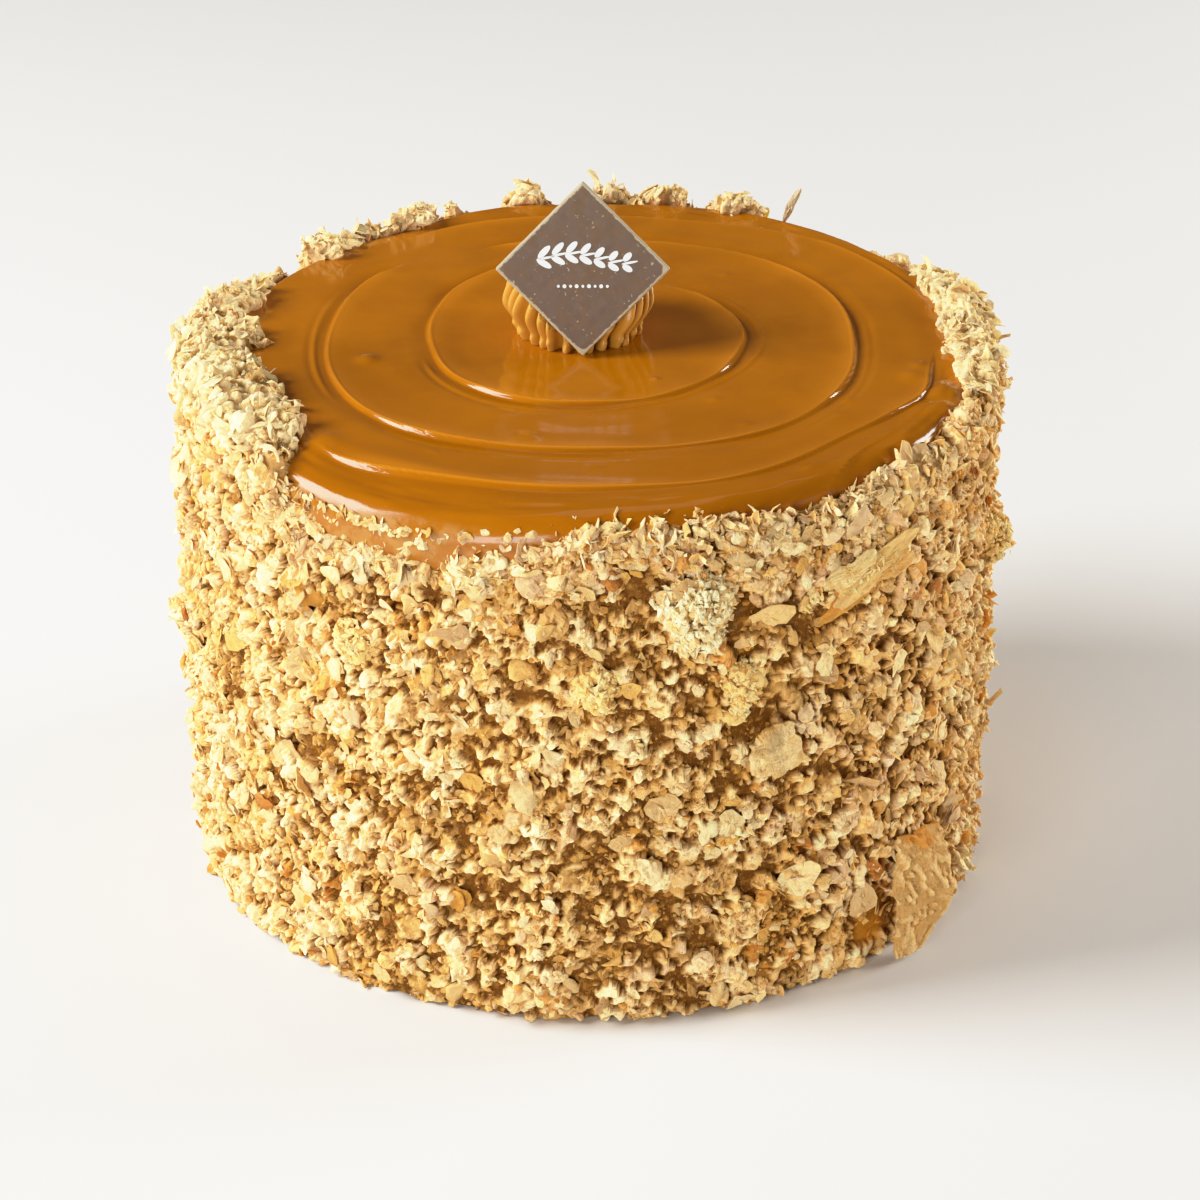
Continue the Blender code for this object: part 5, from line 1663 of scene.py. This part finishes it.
class CAKE_OT_large_pieces(bpy.types.Operator):
    """Build the largest clumps and flakes one by one."""

    bl_idname = "cake.large_pieces"
    bl_label = "Largest pieces"

    def execute(self, _context):
        rng = np.random.default_rng(LARGE_SEED)
        paint = crumb_paint("clump_pastry")
        for values in LARGE_PIECES:
            tone = (255, 240, 194) if values[0] == "clump_pale" else (254, 222, 156)
            finish_piece(cluster("pastry_" + values[0], values, rng, tone), paint, "pale_flake", values[0])
        flake = crumb_paint("sheet_pastry", 0.6)
        item = single_flake("pastry_flake_round", rng, *ROUND_FLAKE)
        finish_piece(item, flake, "pale_flake", "flake_round")
        finish_piece(leaning_sheet("pastry_flake_leaning", rng), flake, "pale_flake", "flake_leaning")
        return {"FINISHED"}


class CAKE_OT_rosette(bpy.types.Operator):
    """Pipe the ribbed rosette."""

    bl_idname = "cake.rosette"
    bl_label = "Piped rosette"

    def execute(self, _context):
        per_rib, rows = 12, 66
        columns = ROSETTE_RIBS * per_rib
        height = sizes().rosette_height / MM
        share = np.linspace(0.004, 1.0, rows)[:, None]
        level = 1.0 - share ** 1.25 + np.zeros((1, columns))
        angle = np.arange(columns)[None, :] * 360.0 / columns + np.zeros_like(level)
        belly = np.sqrt(np.clip(1.0 - (np.clip(level - 0.36, 0.0, 1.0) / 0.64) ** 2, 0.0, 1.0))
        foot = smoothstep(level / 0.36)
        radius = (ROSETTE_BASE + (ROSETTE_BELLY - ROSETTE_BASE) * foot) * np.maximum(belly, 0.03)
        rib = np.abs(np.cos(np.radians(angle * ROSETTE_RIBS * 0.5))) ** 0.75
        number = np.floor(angle / 360.0 * ROSETTE_RIBS + 0.5) % ROSETTE_RIBS
        uneven = np.sin(number * 2.4) * 0.022 + np.sin(number * 5.1) * 0.016
        radius = radius * (0.86 + (0.185 + uneven) * rib)
        curl = np.exp(-(((level - 0.05 - 0.02 * np.sin(number * 3.7)) / 0.045) ** 2))
        radius = radius + 1.0 * curl * rib
        turn = np.radians(angle + 26.0 * level ** 1.5 + 2.5 * np.sin(number * 1.9) * (1.0 - level))
        x = radius * np.cos(turn) + ROSETTE_AXIS[0]
        y = radius * np.sin(turn) + ROSETTE_AXIS[1]
        z = PLAQUE_FOOT[2] + level * height - 0.7 * smoothstep((0.06 - level) / 0.06)
        points = np.stack([x, np.maximum(y, plaque_back(x, z) + 0.3), z], axis=-1)
        # The lift values make the ribs lighter in the crest colour, a painted highlight, and the grooves
        # between them darker, a painted shade.
        item = closed_rings("piped_rosette", points, [points[0].mean(axis=0), points[-1].mean(axis=0)],
                            {"lift": 0.15 + 0.85 * rib})
        paint = caramel_paint("satin_piped_caramel", colours().piped, (0.30, 0.105, 0.006),
                              (0.66, 0.34, 0.06), 0.30, 0.30)
        finish_piece(item, paint, "piped_caramel", "rosette")
        return {"FINISHED"}


def plaque_back(x, z):
    """Y of the plaque's back face at a place, in millimetres, or far forward beside it."""
    lean = math.radians(PLAQUE_LEAN)
    up = (z - PLAQUE_FOOT[2]) / math.cos(lean)
    half_diagonal = PLAQUE_SIDE / math.sqrt(2.0)
    across = np.abs(x - PLAQUE_FOOT[0]) + np.abs(up - half_diagonal)
    back = PLAQUE_FOOT[1] + (z - PLAQUE_FOOT[2]) * math.tan(lean) + 0.5 * PLAQUE_THICK
    return np.where(across < half_diagonal + 1.0, back, -60.0)


class CAKE_OT_plaque(bpy.types.Operator):
    """Cut the chocolate plaque and print a plain leaf sprig on it."""

    bl_idname = "cake.plaque"
    bl_label = "Chocolate plaque"

    def execute(self, _context):
        side = sizes().plaque_side
        clear_selection()
        bpy.ops.mesh.primitive_cube_add(size=1.0, location=(0.0, 0.0, 0.0))
        item = bpy.context.object
        mesh = item.data
        item.name = mesh.name = "chocolate_plaque"
        bpy.ops.object.mode_set(mode="EDIT")
        bpy.ops.mesh.select_all(action="SELECT")
        bpy.ops.transform.resize(value=(side, PLAQUE_THICK * MM, side), center_override=(0.0, 0.0, 0.0))
        bpy.ops.mesh.bevel(offset=0.00035, segments=2, affect="EDGES")
        bpy.ops.mesh.select_all(action="SELECT")
        bpy.ops.mesh.subdivide(number_cuts=17)
        bpy.ops.mesh.quads_convert_to_tris()
        bpy.ops.object.mode_set(mode="OBJECT")
        rng = np.random.default_rng(PLAQUE_SEED)
        points = np.empty(len(mesh.vertices) * 3)
        mesh.vertices.foreach_get("co", points)
        points = points.reshape(-1, 3)
        edge = np.maximum(np.abs(points[:, 0]), np.abs(points[:, 2])) / (side * 0.5)
        worn = smoothstep((edge - 0.93) / 0.07)
        chip = lattice_noise(points[:, 0] / 0.0011 + 90.0, points[:, 2] / 0.0011 + 90.0, 15)
        points[:, [0, 2]] *= (1.0 - 0.007 * worn * np.maximum(chip, 0.0))[:, None]
        points[:, 1] += 0.00003 * rng.normal(size=len(points)) * (1.0 - worn)
        mesh.vertices.foreach_set("co", points.ravel())
        wear = mesh.attributes.new("wear", "FLOAT", "POINT")
        wear.data.foreach_set("value", worn.astype(np.float32))
        place = Matrix.Translation(axis_shift()) @ plaque_matrix(side / MM)
        mesh.transform(place)
        mesh.update()
        finish_piece(item, chocolate_paint(), "chocolate", "plaque")
        finish_piece(leaf_sprig(place), print_paint(), "chocolate")
        return {"FINISHED"}


def flat_disc(sides, stretch, place):
    """Add a thin filled disc in the plaque's own plane, stretched and placed."""
    clear_selection()
    bpy.ops.mesh.primitive_cylinder_add(vertices=sides, radius=1.0, depth=1.0)
    item = bpy.context.object
    item.data.transform(place @ Matrix.Diagonal((*stretch, SPRIG_LAYER, 1.0)))
    return item


def leaf_sprig(plaque_place):
    """Print a plain sprig of leaves with a row of dots under it."""
    upright = plaque_place @ Matrix.Rotation(math.radians(-45.0), 4, "Y")
    face = upright @ Matrix.Translation((0.0, -0.00125, 0.0)) @ Matrix.Rotation(math.radians(90.0), 4, "X")

    def spot(x, y, turn=0.0):
        """Place and turn in the plane of the plaque's face."""
        return face @ Matrix.Translation((x, y, 0.0)) @ Matrix.Rotation(turn, 4, "Z")

    parts = []
    for index in range(7):
        along = -0.0105 + 0.0034 * index
        rise = 0.0012 * math.sin(index * 0.8) + 0.0028
        for sign in (-1.0, 1.0):
            place = spot(along + 0.0010, rise + sign * 0.0014, math.radians(38.0 * sign + 8.0))
            parts.append(flat_disc(14, (0.0021 - 0.00012 * index, 0.00078), place))
        parts.append(flat_disc(10, (0.0021, 0.00030), spot(along + 0.0016, rise, 0.18)))
    for index in range(9):
        size = 0.00048 if index % 2 else 0.00036
        parts.append(flat_disc(12, (size, size), spot(-0.0060 + 0.0015 * index, -0.0042)))
    clear_selection()
    for part in parts:
        part.select_set(True)
    bpy.context.view_layer.objects.active = parts[0]
    bpy.ops.object.join()
    sprig = bpy.context.object
    sprig.name = "white_sprig"
    return sprig


def area_light(name, place, target, size, power):
    """Add a soft square light that looks at a point."""
    bpy.ops.object.light_add(type="AREA", location=place)
    light = bpy.context.object
    light.name = name
    light.data.shape = "SQUARE"
    light.data.size = size
    light.data.energy = power
    light.data.color = LIGHT_COLOUR
    light.rotation_euler = (Vector(target) - Vector(place)).to_track_quat("-Z", "Y").to_euler()
    return light


class CAKE_OT_stage(bpy.types.Operator):
    """Set the pale floor, the soft lights, the camera and the view."""

    bl_idname = "cake.stage"
    bl_label = "Stage"

    def execute(self, _context):
        clear_selection()
        bpy.ops.mesh.primitive_plane_add(size=6.0, location=(0.0, 0.0, -0.0002))
        floor = bpy.context.object
        floor.name = "floor"
        floor.data.materials.append(floor_paint())
        [area_light(*row) for row in LIGHTS]
        world = bpy.data.worlds.new("studio")
        bpy.context.scene.world = world
        world.use_nodes = True
        backdrop = world.node_tree.nodes["Background"]
        backdrop.inputs["Color"].default_value = (1.0, 0.90, 0.76, 1.0)
        backdrop.inputs["Strength"].default_value = 0.09
        bpy.ops.object.camera_add(location=Vector(CAMERA_PLACE) + axis_shift(),
                                  rotation=(math.radians(90.0 - CAMERA_DOWN), 0.0, 0.0))
        camera = bpy.context.object
        camera.name = "camera"
        camera.data.lens = FOCAL_PIXELS / IMAGE * SENSOR
        camera.data.sensor_width = SENSOR
        camera.data.clip_start = 0.01
        bpy.context.scene.camera = camera
        view = bpy.context.scene.view_settings
        view.view_transform = "Standard"
        view.look = "None"
        view.use_curve_mapping = True
        shoulder = view.curve_mapping
        shoulder.use_clip = True
        shoulder.clip_max_x = BRIGHTEST
        shoulder.clip_max_y = 1.0
        curve = shoulder.curves[3]
        curve.points[1].location = (BRIGHTEST, 1.0)
        for place in VIEW_CURVE:
            curve.points.new(*place)
        shoulder.update()
        return {"FINISHED"}


class CAKE_PT_parts(bpy.types.Panel):
    """List the steps that build the cake."""

    bl_idname = "CAKE_PT_parts"
    bl_label = "Crumb-coated cake"
    bl_space_type = "VIEW_3D"
    bl_region_type = "UI"
    bl_category = "Cake"

    def draw(self, context):
        column = self.layout.column()
        for name in CakeSizes.__annotations__:
            column.prop(context.scene.cake_sizes, name)
        for name in CakeColours.__annotations__:
            column.prop(context.scene.cake_colours, name)
        for step in STEPS:
            column.operator(step.bl_idname)


STEPS = (
    CAKE_OT_coat, CAKE_OT_caramel, CAKE_OT_fine_crumbs, CAKE_OT_flakes, CAKE_OT_lumps,
    CAKE_OT_large_pieces, CAKE_OT_rosette, CAKE_OT_plaque, CAKE_OT_stage,
)
CLASSES = (CakeSizes, CakeColours) + STEPS + (CAKE_PT_parts,)


def register():
    """Register the classes and hang the settings on the scene."""
    for item in CLASSES:
        bpy.utils.register_class(item)
    bpy.types.Scene.cake_sizes = bpy.props.PointerProperty(type=CakeSizes)
    bpy.types.Scene.cake_colours = bpy.props.PointerProperty(type=CakeColours)


def unregister():
    """Take the settings and the classes away again."""
    del bpy.types.Scene.cake_colours
    del bpy.types.Scene.cake_sizes
    for item in reversed(CLASSES):
        bpy.utils.unregister_class(item)


def main():
    """Build every piece in order."""
    register()
    bpy.ops.cake.coat()
    bpy.ops.cake.caramel()
    bpy.ops.cake.fine_crumbs()
    bpy.ops.cake.flakes()
    bpy.ops.cake.lumps()
    bpy.ops.cake.large_pieces()
    bpy.ops.cake.rosette()
    bpy.ops.cake.plaque()
    bpy.ops.cake.stage()


if __name__ == "__main__":
    main()
